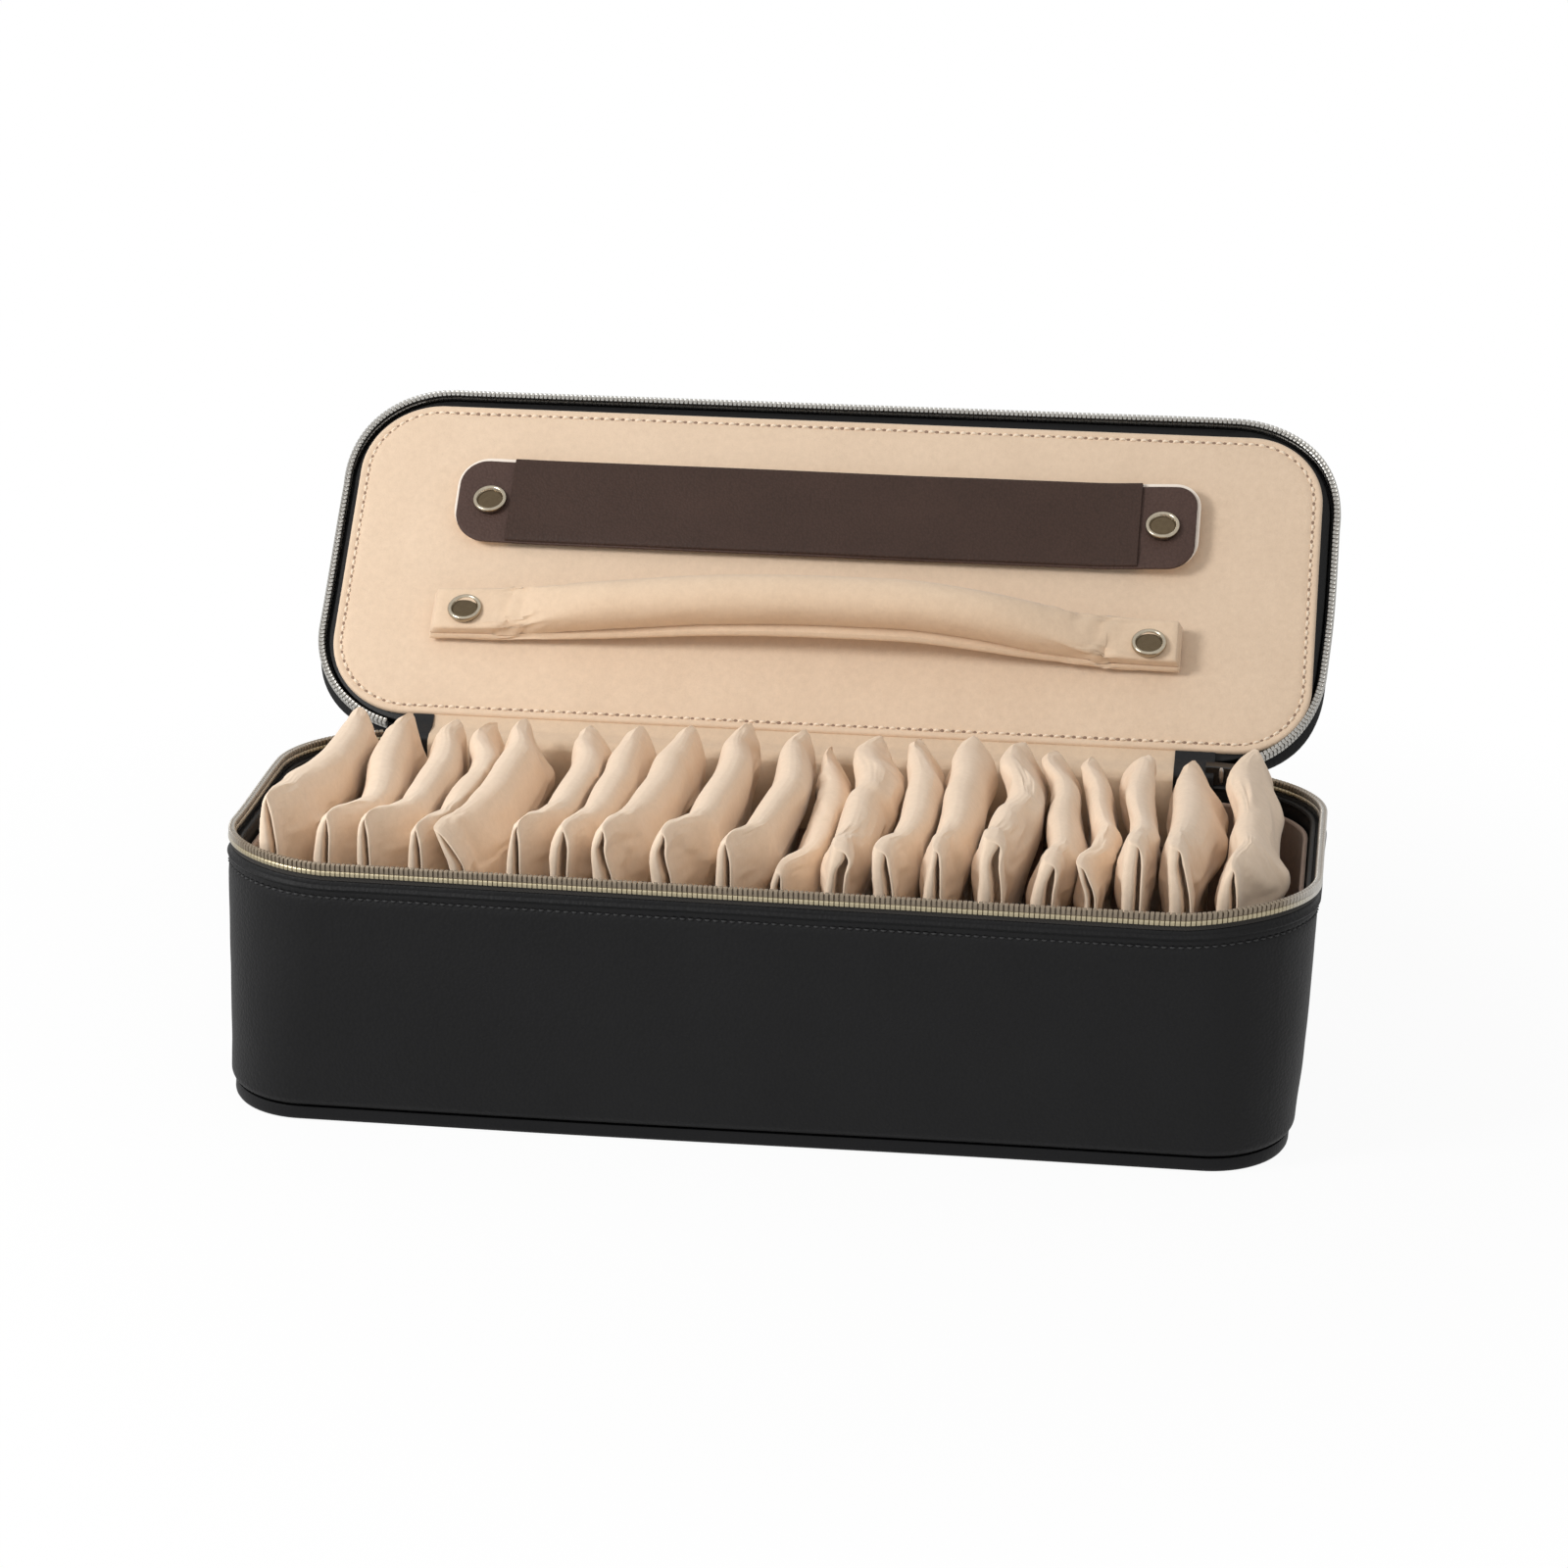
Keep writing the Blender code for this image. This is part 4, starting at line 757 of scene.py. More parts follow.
# A tooth's head and legs in side view: inset from the wall's face, and height above the line
# where the halves meet
TOOTH_HEAD = (
    (0.0001, -0.0021), (-0.0001, -0.0017), (-0.0002, -0.0006), (-0.0001, -0.0002), (0.0002, 0.0000),
    (0.0005, -0.0001), (0.0007, -0.0003), (0.0010, -0.0003), (0.0012, -0.0001), (0.0015, 0.0000),
    (0.0018, -0.0002), (0.0019, -0.0006), (0.0018, -0.0017), (0.0016, -0.0021),
)
TOOTH_LEGS = (
    (0.0002, -0.0035), (-0.0001, -0.0034), (-0.0003, -0.0030), (-0.0003, -0.0025), (-0.0001, -0.0021),
    (0.0002, -0.0019), (0.0016, -0.0019), (0.0019, -0.0022), (0.0020, -0.0028), (0.0018, -0.0033),
    (0.0015, -0.0035),
)
TOOTH_HEAD_SHARE = 0.40
TOOTH_LEGS_SHARE = 0.465
TOOTH_EDGE = 0.00012


def tooth_part(spot, side, level, section, share):
    """The head or the legs of one tooth, with softened ends."""
    place, out, along = spot
    half = TOOTH_PITCH * share
    corners = np.array(section)
    middle = corners.mean(axis=0)
    shrunk = middle + (corners - middle) * (1 - TOOTH_EDGE / 0.0008)
    rings = []
    for run, outlined in (
        (-half, shrunk), (-half + TOOTH_EDGE, corners), (half - TOOTH_EDGE, corners), (half, shrunk),
    ):
        rings.append(np.array([
            place + along * run - out * inset + Vector((0.0, 0.0, level + side * height))
            for inset, height in outlined
        ]))
    return skin(rings)


def zip_strip(walk, section):
    """A strip of even section, as (inset, height) corners, along the zip's walk."""
    rings = []
    for place, out, _ in walk:
        rings.append(np.array([
            place - out * inset + Vector((0.0, 0.0, height)) for inset, height in section
        ]))
    return skin(rings)


# Sections of the tape, the bead in front of it and the bare cord at the zip's ends: inset from the
# wall's face, and height above the line where the halves meet
TAPE_SECTION = (
    (0.00035, -0.0049), (0.00035, -0.0036), (0.00045, -0.0034),
    (0.00125, -0.0034), (0.00135, -0.0036), (0.00135, -0.0049),
)
BEAD_SECTION = (
    (0.00030, -0.0033), (0.00022, -0.0020), (0.00030, -0.0008), (0.00050, -0.0005),
    (0.00115, -0.0005), (0.00135, -0.0008), (0.00135, -0.0033),
)
BARE_SECTION = ((0.0001, -0.0031), (0.0001, -0.0018), (0.0015, -0.0018), (0.0015, -0.0031))
TAPE_STEP = 0.0025
BARE_STEP = 0.002


def make_zip(word, side, body, lid):
    """One half of the zip: woven tape, its bead and its row of clamped teeth."""
    shift = np.array((0.0, LID_SHIFT if lid else 0.0, 0.0))
    level = 0.0 if lid else RIM_HEIGHT
    lead = ARC_CENTRE_X - ZIP_END_X + RIM_CORNER_RADIUS * ZIP_LEAD_ANGLE
    start = lead if lid else 0.0
    moves = (lid_settled, on_lid) if lid else (settled,)

    def strip(walk, section):
        return zip_strip(walk, [(inset, level + side * drop) for inset, drop in section])

    def add(name, form, finish, slot, nodes=()):
        piece(name, shaped((form[0] + shift, form[1]), *moves), finish, body, slot, nodes)

    walk = zip_walk(TAPE_STEP, start, start)
    add(f"tape_{word}", strip(walk, TAPE_SECTION), ZIP_TAPE, "zip_tape", [f"zip_{word}_tape"])
    add(f"bead_{word}", strip(walk, BEAD_SECTION), ZIP_BEAD, "zip_tape")
    first = lead + TOOTH_PITCH * (0.5 if lid else 0.0)
    last = lead + TOOTH_PITCH * (0.0 if lid else 0.5)
    spots = zip_walk(TOOTH_PITCH, first, last)
    legs = [tooth_part(spot, side, level, TOOTH_LEGS, TOOTH_LEGS_SHARE) for spot in spots]
    heads = [tooth_part(spot, side, level, TOOTH_HEAD, TOOTH_HEAD_SHARE) for spot in spots]
    if not lid:
        bare = zip_walk(BARE_STEP, 0.0, 0.0)
        count = int(lead / BARE_STEP) + 1
        legs += [strip(run, BARE_SECTION) for run in (bare[:count], bare[-count:])]
    # The lid's teeth take the pale silver that stands as painted reflection
    legs_finish, heads_finish = (LID_ZIP_PAINTED_SHEEN, LID_ZIP_PAINTED_SHEEN) if lid else (ZIP_GOLD, ZIP_HEAD)
    add(f"teeth_{word}", joined(legs), legs_finish, "pale_gold", [f"zip_{word}_teeth"])
    add(f"teeth_{word}_heads", joined(heads), heads_finish, "pale_gold")


# The lid in side view: inset from its edge, and height above the meeting plane. The lip's heights
# are above the zip's band.
LID_LIP = ((0.0010, 0.0), (0.0004, 0.0001), (0.0001, 0.0005), (0.0, 0.0007), (0.0, 0.0008), (0.0, 0.0009))
LID_EDGE_STEPS = 12
LID_TOP_INSETS = (0.009, 0.013, 0.018, 0.024, 0.031, 0.039, 0.047, 0.055)
LID_WAVE = (0.040, 0.00025)
LID_INSIDE = (
    (0.0010, ZIP_BAND), (WALL_THICKNESS, ZIP_BAND),
    (WALL_THICKNESS, LID_THICKNESS - LID_EDGE_ROUND), (0.0057, LID_THICKNESS - 0.0025),
)
LID_FACING = ((0.0034, 0.0020), (0.0031, 0.0022), (0.0030, 0.0026), (0.0033, 0.0031))
LID_PAD = ((0.0062, 0.0036), (0.0060, 0.0050), (0.0066, 0.0070), (0.0085, 0.0086), (0.014, 0.0091))


def make_lid():
    """The leather-covered lid, the board that faces its inside, and the foam between."""
    rings = [lid_ring(inset, ZIP_BAND + height) for inset, height in LID_LIP]
    for step in range(LID_EDGE_STEPS + 1):
        angle = math.pi / 2 * step / LID_EDGE_STEPS
        inset = LID_EDGE_ROUND * (1 - math.cos(angle))
        rings.append(lid_ring(inset, LID_THICKNESS - LID_EDGE_ROUND * (1 - math.sin(angle))))
    for inset in LID_TOP_INSETS:
        points = lid_ring(inset, LID_THICKNESS)
        points[:, 2] += waver(points, *LID_WAVE) * (1 - inset / LID_TOP_INSETS[-1])
        rings.append(points)
    form = joined([skin(rings, (False, True)), lid_skin(LID_INSIDE, (False, True))])
    form = shaped(form, lid_settled, on_lid)
    piece("lid_cover", form, BLACK_LEATHER, "lid", "black_leather", ["lid_shell"])
    form = shaped(lid_skin(LID_FACING), lid_settled, on_lid)
    piece("lid_facing_board", form, FACING_LEATHER, "lid", "black_leather", ["lid_facing"])
    foam = piece("lid_foam", shaped(lid_skin(LID_PAD), on_lid), FOAM, "lid", "padding_foam", ["lid_padding"])


PANEL_EDGE = 0.0010
PANEL_FALL = 0.0011
PANEL_CHANNEL_DEPTH = 0.00038
PANEL_CHANNEL_WIDTH = 0.0007
PANEL_SQUARE_FROM = 0.018
PANEL_WAVES = ((0.026, 0.00022), (0.006, 0.00006, 3.0))
PANEL_INSETS = (
    0.0, 0.00015, 0.0005, 0.0010, 0.0015, 0.0020, 0.0023, 0.0025, 0.0027, 0.0031, 0.0038, 0.0050,
    0.0070, 0.0095, 0.0130, 0.0175, 0.0240, 0.0310, 0.0380, 0.0450, 0.0500,
)


def panel_level(inset):
    """How far the panel's face stands off the meeting plane, by the inset from its edge."""
    fall = PANEL_FALL * (1 - math.sqrt(max(0.0, 1 - (1 - min(inset, PANEL_EDGE) / PANEL_EDGE) ** 2)))
    channel = PANEL_CHANNEL_DEPTH * math.exp(-((inset - PANEL_STITCH_INSET) / PANEL_CHANNEL_WIDTH) ** 2)
    return fall + channel


def panel_ring(inset, height):
    square = inset >= PANEL_SQUARE_FROM
    radii = [LEAST_BEND + 0.002 if square else radius - inset for radius in PANEL_RADII]
    places, _ = rounded(
        PANEL_LEFT + inset, PANEL_RIGHT - inset, PANEL_FAR + inset, PANEL_NEAR - inset,
        radii, CORNER_STEPS, LONG_STEPS, SHORT_STEPS,
    )
    return np.hstack([places, np.full((len(places), 1), height)])


def make_panel():
    """The suede panel: a padded board with a turned edge and a sewn channel near it."""
    rings = [panel_ring(0.0004, PANEL_THICKNESS), panel_ring(0.0, PANEL_THICKNESS - 0.0003)]
    for inset in PANEL_INSETS:
        points = panel_ring(inset, panel_level(inset))
        if inset > PANEL_EDGE:
            points[:, 2] += sum(np.abs(waver(points, *wave)) for wave in PANEL_WAVES)
        rings.append(points)
    piece("suede_panel", shaped(skin(rings), on_lid), PANEL_SUEDE, "lid", "beige_suede", ["lid_panel"])
    path = on_lid(panel_ring(PANEL_STITCH_INSET, panel_level(PANEL_STITCH_INSET) + 0.0001))
    out = on_lid([(0.0, 0.0, -1.0)])[0] - on_lid([(0.0, 0.0, 0.0)])[0]
    thread = stitches(path, [out] * len(path), *PANEL_STITCH)
    piece("panel_stitches", thread, PALE_THREAD, "lid", "beige_suede")
    # The needle holes are dark buttons: painted shade
    holes = needle_holes(path, out, PANEL_STITCH[0])
    piece("panel_needle_holes", holes, NEEDLE_HOLE_PAINTED_SHADE, "lid", "beige_suede")


# Strap, with its sleeve and snaps

def oblong(left, right, low, high, radii, steps=10, run=24):
    """Places round a strap with rounded corners."""
    return rounded(left, right, low, high, radii, steps, run * 3, run // 3)[0]


def flat_strap(left, right, low, high, radii, profile):
    """A flat strap built up from (inset, height) steps, from its back to its face, its ends curled up."""
    rings = []
    for inset, height in profile:
        bends = [max(radius - inset, LEAST_BEND) for radius in radii]
        places = oblong(left + inset, right - inset, low + inset, high - inset, bends)
        points = np.hstack([places, np.full((len(places), 1), height)])
        points[:, 2] -= strap_curl(points[:, 0])
        rings.append(points)
    return skin(rings)


STRAP_BACK_Z = -0.0017
STRAP_BACKING = 0.0007
STRAP_FACE_Z = -0.0025
STRAP_FACE = 0.0009
# How far the beige backing shows beyond the leather face
STRAP_BORDER_LEFT = 0.0009
STRAP_BORDER_RIGHT = 0.0011
STRAP_BORDER_FAR = 0.0015
STRAP_BORDER_NEAR = -0.0006
STRAP_CURL_LEFT = 0.0006
STRAP_CURL_RIGHT = 0.0020
STRAP_SNAP_INSET = 0.0115
SLEEVE_LEFT = -0.1030
SLEEVE_RIGHT = 0.0980
SLEEVE_HALF = 0.0150
SLEEVE_Y = STRAP_Y - 0.0008
SLEEVE_FRONT = -0.0044
SLEEVE_BACK = -0.0011
SLEEVE_LEATHER_THICKNESS = 0.0006
SLEEVE_TURN_IN = 0.012


def slab_profile(high, thickness, edge, insets):
    """Steps for a slab with a rounded edge, and then rings across its face."""
    low = high - thickness
    steps = [(edge, high), (edge * 0.3, high - edge * 0.3), (0.0, high - edge)]
    steps += [(0.0, low + edge), (edge * 0.3, low + edge * 0.3), (edge, low)]
    return steps + [(inset, low) for inset in insets]


def strap_curl(x):
    """How far the strap's ends stand up off the panel."""
    left = STRAP_CURL_LEFT * eased_all((SLEEVE_LEFT + 0.012 - x) / 0.024)
    return left + STRAP_CURL_RIGHT * eased_all((x - SLEEVE_RIGHT + 0.016) / 0.030)


def make_strap():
    far, near = STRAP_Y - STRAP_WIDTH / 2, STRAP_Y + STRAP_WIDTH / 2
    backing = flat_strap(
        STRAP_LEFT, STRAP_RIGHT, far - STRAP_BORDER_FAR, near + STRAP_BORDER_NEAR,
        [radius + STRAP_BORDER_FAR for radius in STRAP_RADII],
        slab_profile(STRAP_BACK_Z, STRAP_BACKING, 0.0002, (0.0020, 0.006)),
    )
    # The backing's paler suede is partly painted highlight
    piece("strap_back", shaped(backing, on_lid), BACKING_SUEDE_AND_HIGHLIGHT, "strap", "beige_suede", ["strap_backing"])
    face = flat_strap(
        STRAP_LEFT + STRAP_BORDER_LEFT, STRAP_RIGHT - STRAP_BORDER_RIGHT, far, near, STRAP_RADII,
        slab_profile(STRAP_FACE_Z, STRAP_FACE, 0.0003, (0.0014, 0.0028, 0.0050, 0.0064)),
    )
    piece("strap_front", shaped(face, on_lid), BROWN_LEATHER, "strap", "brown_leather", ["strap_face"])
    make_sleeve()
    for word, x in (("left", STRAP_LEFT + STRAP_SNAP_INSET), ("right", STRAP_RIGHT - STRAP_SNAP_INSET)):
        seat = STRAP_FACE_Z - STRAP_FACE - float(strap_curl(x)) - 0.0002
        make_cap(f"strap_snap_{word}", x, STRAP_Y, seat, "strap", f"strap_cap_{word}", math.radians(-12))


def sleeve_section(x, grow):
    """The sleeve's loop round the strap at one place, drawn in on every side by grow."""
    half = SLEEVE_HALF - grow
    back, front = SLEEVE_BACK - grow, SLEEVE_FRONT + grow
    middle, depth = (back + front) / 2, (back - front) / 2
    points = []
    for step in range(48):
        angle = math.tau * (step + 0.5) / 48
        wide = math.copysign(abs(math.cos(angle)) ** 0.16, math.cos(angle))
        deep = math.copysign(abs(math.sin(angle)) ** 0.42, math.sin(angle))
        points.append((x, SLEEVE_Y + half * wide, middle + depth * deep))
    return np.array(points) - (0.0, 0.0, float(strap_curl(x)))


def make_sleeve():
    """A leather sleeve wrapped round the strap, its edges turned in."""
    rings = []
    steps = 60
    for step in range(steps + 1):
        x = SLEEVE_LEFT + (SLEEVE_RIGHT - SLEEVE_LEFT) * step / steps
        points = sleeve_section(x, 0.0)
        points[:, 2] += waver(points, 0.024, 0.00012)
        points[:, 1] += waver(points, 0.050, 0.00018, 2.0)
        rings.append(points)
    rim = SLEEVE_LEATHER_THICKNESS
    ends = []
    for x, inward in ((SLEEVE_LEFT, 1), (SLEEVE_RIGHT, -1)):
        ends.append([
            sleeve_section(x - inward * rim * 0.3, rim * 0.4),
            sleeve_section(x + inward * rim, rim * 1.2),
            sleeve_section(x + inward * SLEEVE_TURN_IN, rim * 1.2),
        ])
    rings = ends[0][::-1] + rings + ends[1]
    form = shaped(skin(rings, (False, False)), on_lid)
    piece("strap_wrap", form, SLEEVE_LEATHER, "strap", "brown_leather", ["strap_sleeve"])


CAP_SIDES = 40
# Radius and height off the seat: the rolled rim, and the flat face that it holds
CAP_RIM = (
    (0.00440, 0.0012), (0.00500, 0.0008), (0.00530, 0.0000), (0.00545, -0.0004), (0.00546, -0.0008),
    (0.00534, -0.0012), (0.00508, -0.00148), (0.00472, -0.00156), (0.00436, -0.0014), (0.00408, -0.0010),
    (0.00396, -0.0006), (0.00360, -0.0003),
)
CAP_FACE = (
    (0.00365, -0.00020), (0.00402, -0.00045), (0.00400, -0.00060), (0.00375, -0.00072), (0.00320, -0.00082),
    (0.00230, -0.00088), (0.00110, -0.00091),
)


def make_cap(name, x, y, seat, body, node, tilt=0.0):
    """A snap cap: a bright rolled rim round a nearly flat face, tipped a little; the face's dark colour is a
    painted reflection of dark surroundings.
    """
    for word, profile, finish, nodes in (
        ("", CAP_RIM, PALE_GOLD, [node]),
        ("_face", CAP_FACE, SNAP_FACE_PAINTED_REFLECTION, ()),
    ):
        rings = []
        for radius, drop in profile:
            ring_points = []
            for corner in range(CAP_SIDES):
                angle = math.tau * corner / CAP_SIDES
                along, across = radius * math.cos(angle), radius * math.sin(angle)
                ring_points.append((
                    x + along,
                    y + across * math.cos(tilt) - drop * math.sin(tilt),
                    seat + drop * math.cos(tilt) + across * math.sin(tilt),
                ))
            rings.append(np.array(ring_points))
        piece(name + word, shaped(skin(rings), on_lid), finish, body, "pale_gold", nodes)


ROLL_BACK = -0.0019
ROLL_BAND_FAR = 0.0076
ROLL_BAND_NEAR = 0.0080
ROLL_BAND_HANG = 0.0018
ROLL_LIP = 0.0021
ROLL_CUT = 0.0021
ROLL_SLAB = 0.0056
ROLL_STAND = 0.0142
ROLL_HALF_FLAT = 0.0072
ROLL_HALF_ROUND = 0.0074
ROLL_LIFT = 0.0062
ROLL_BOW = 0.0046
ROLL_FLAT = 0.0130
ROLL_SWELL = 0.0460
ROLL_SNAP_INSET = (0.0091, 0.0083)
ROLL_SNAP_LOWER = (0.0003, 0.0016)
ROLL_STEPS = 130
# How far the roll has arched, by its share from the left end
ROLL_ARCH = (
    (0.0, 0.0), (0.06, 0.07), (0.16, 0.20), (0.25, 0.42), (0.37, 0.80), (0.49, 0.98), (0.60, 1.0),
    (0.66, 0.95), (0.73, 0.70), (0.81, 0.33), (0.87, 0.15), (0.94, 0.04), (1.0, 0.0),
)


def eased(share):
    share = min(1.0, max(0.0, share))
    return share * share * (3 - 2 * share)


def roll_section(x, arch_line):
    """The roll at one place: a flat band, and on it a stuffed tube that flattens to a slab at the ends."""
    share = (x - ROLL_LEFT) / (ROLL_RIGHT - ROLL_LEFT)
    arch = float(np.clip(table_values(arch_line, share), 0.0, 1.0))
    swell = eased((min(x - ROLL_LEFT, ROLL_RIGHT - x) - ROLL_FLAT) / ROLL_SWELL)
    near = ROLL_BAND_NEAR + ROLL_BAND_HANG * arch
    far = -ROLL_BAND_FAR
    top = ROLL_SLAB + (ROLL_STAND - ROLL_SLAB) * swell
    crease = ROLL_LIP - 0.0004
    half = (top - crease * (1 - 0.35 * swell)) / (1 + 0.55 * swell) if swell else top - crease
    centre = top - half
    wide = ROLL_HALF_FLAT + (ROLL_HALF_ROUND - ROLL_HALF_FLAT) * swell
    power = 0.22 + 0.70 * swell
    profile = [(far + (near - far) * step / 8, 0.0) for step in range(9)]
    profile += [(near + 0.0002, 0.0007), (near, ROLL_LIP - 0.0007), (near - 0.0006, ROLL_LIP)]
    low = -math.asin(min(0.95, max(0.0, (centre - crease) / half)) ** (1 / power)) if centre > crease else 0.0
    for step in range(25):
        angle = low + (math.pi - 2 * low) * step / 24
        cosine, sine = math.cos(angle), math.sin(angle)
        across = wide * math.copysign(abs(cosine) ** power, cosine)
        profile.append((across - 0.0002, centre + half * math.copysign(abs(sine) ** power, sine)))
    profile += [(far + 0.0005, ROLL_LIP), (far, ROLL_LIP - 0.0007), (far - 0.0002, 0.0007)]
    stand, middle = -ROLL_BACK + ROLL_LIFT * arch, ROLL_Y - ROLL_BOW * arch
    return np.array([(x, middle + across, -(stand + height)) for across, height in profile])


def roll_form():
    arch_line = smooth_line(ROLL_ARCH, 6)
    rings = []
    for step in range(ROLL_STEPS + 1):
        x = ROLL_LEFT + (ROLL_RIGHT - ROLL_LEFT) * step / ROLL_STEPS
        rings.append(roll_section(x, arch_line))
    ends = []
    for ring_points, inward, deep in ((rings[0], -1, ROLL_CUT), (rings[-1], 1, ROLL_CUT * 0.5)):
        slant = deep * (1 - (ROLL_BACK - ring_points[:, 2]) / ROLL_SLAB)
        cut = ring_points + np.outer(slant, (inward, 0.0, 0.0))
        middle = cut.mean(axis=0)
        ends.append([cut, middle + (cut - middle) * (1.0, 0.95, 0.88) + (inward * 0.0004, 0.0, 0.0)])
    return shaped(skin([ends[0][1], ends[0][0]] + rings[1:-1] + ends[1]), on_lid)


def make_roll(form):
    roll = piece("stuffed_roll", form, ROLL_SUEDE, "roll", "beige_suede", ["ring_roll"], math.radians(50))
    seat = ROLL_BACK - ROLL_SLAB - 0.0003
    for word, x, lower in (
        ("left", ROLL_LEFT + ROLL_SNAP_INSET[0], ROLL_SNAP_LOWER[0]),
        ("right", ROLL_RIGHT - ROLL_SNAP_INSET[1], ROLL_SNAP_LOWER[1]),
    ):
        make_cap(f"roll_snap_{word}", x, ROLL_Y + lower, seat, "roll", f"roll_cap_{word}", math.radians(-15))


# Spine and the beige strip that covers the fold

def folded_sheet(centre, thickness, left, right, steps):
    """A sheet of even thickness whose side view follows a line of (depth, height) points."""
    fine = smooth_line(centre, 5)
    lower, upper = [], []
    for index, (y, z) in enumerate(fine):
        before, after = fine[max(index - 1, 0)], fine[min(index + 1, len(fine) - 1)]
        along = np.array(after) - np.array(before)
        across = np.array((-along[1], along[0])) / np.linalg.norm(along) * thickness / 2
        lower.append((y - across[0], z - across[1]))
        upper.append((y + across[0], z + across[1]))
    loop = lower + upper[::-1]
    rings = []
    for step in range(steps + 1):
        x = left + (right - left) * step / steps
        rings.append(np.array([(x, y, z) for y, z in loop]))
    return skin(rings)


def smooth_line(points, parts):
    """A soft curve through a line's points."""
    points = [np.array(point, float) for point in points]
    ends = [2 * points[0] - points[1]] + points + [2 * points[-1] - points[-2]]
    found = []
    for index in range(1, len(ends) - 2):
        a, b, c, d = ends[index - 1:index + 3]
        for part in range(parts):
            t = part / parts
            found.append(0.5 * (2 * b + (c - a) * t + (2 * a - 5 * b + 4 * c - d) * t * t
                                + (3 * b - a - 3 * c + d) * t ** 3))
    found.append(points[-1])
    return [tuple(point) for point in found]


SPINE_LINE = (
    (0.0605, 0.0736), (0.0605, 0.0757), (0.0610, 0.0768), (0.0621, 0.0774),
    (0.0634, 0.0776), (0.0646, 0.0772), (0.0662, 0.0757),
)
STRIP_LINE = (
    (0.0556, 0.0542), (0.0556, 0.0650), (0.0557, 0.0742), (0.0562, 0.0762), (0.0577, 0.0775),
    (0.0600, 0.0779), (0.0620, 0.0781), (0.0636, 0.0784), (0.0652, 0.0793), (0.0671, 0.0812),
    (0.0690, 0.0830),
)
LINER_LINE = (
    (0.0572, 0.0690), (0.0573, 0.0745), (0.0576, 0.0768), (0.0590, 0.0780), (0.0612, 0.0787),
    (0.0640, 0.0797), (0.0665, 0.0815),
)
LINER_HALF = 0.1262
SPINE_HALF = 0.1195
STRIP_LEFT = -0.1184
STRIP_RIGHT = 0.1139


def make_fold():
    spine = piece(
        "spine_leather", folded_sheet(SPINE_LINE, 0.0013, -SPINE_HALF, SPINE_HALF, 60),
        BLACK_LEATHER, None, "black_leather", ["spine_lower", "spine_upper"],
    )
    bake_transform(spine)
    for word, left, right in (("left", -LINER_HALF, STRIP_LEFT), ("right", STRIP_RIGHT, LINER_HALF)):
        liner = piece(
            f"fold_liner_{word}", folded_sheet(LINER_LINE, 0.0006, left, right, 4),
            FACING_LEATHER, None, "black_leather",
        )
        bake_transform(liner)
    strip = piece(
        "fold_strip", folded_sheet(STRIP_LINE, 0.0009, STRIP_LEFT, STRIP_RIGHT, 60),
        STRIP_SUEDE, None, "beige_suede", ["hinge_strip_lower", "hinge_strip_upper"],
    )
    line = [np.array(point) for point in smooth_line(STRIP_LINE, 5)]
    length = sum(float(np.linalg.norm(after - before)) for before, after in zip(line, line[1:]))
    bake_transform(strip)


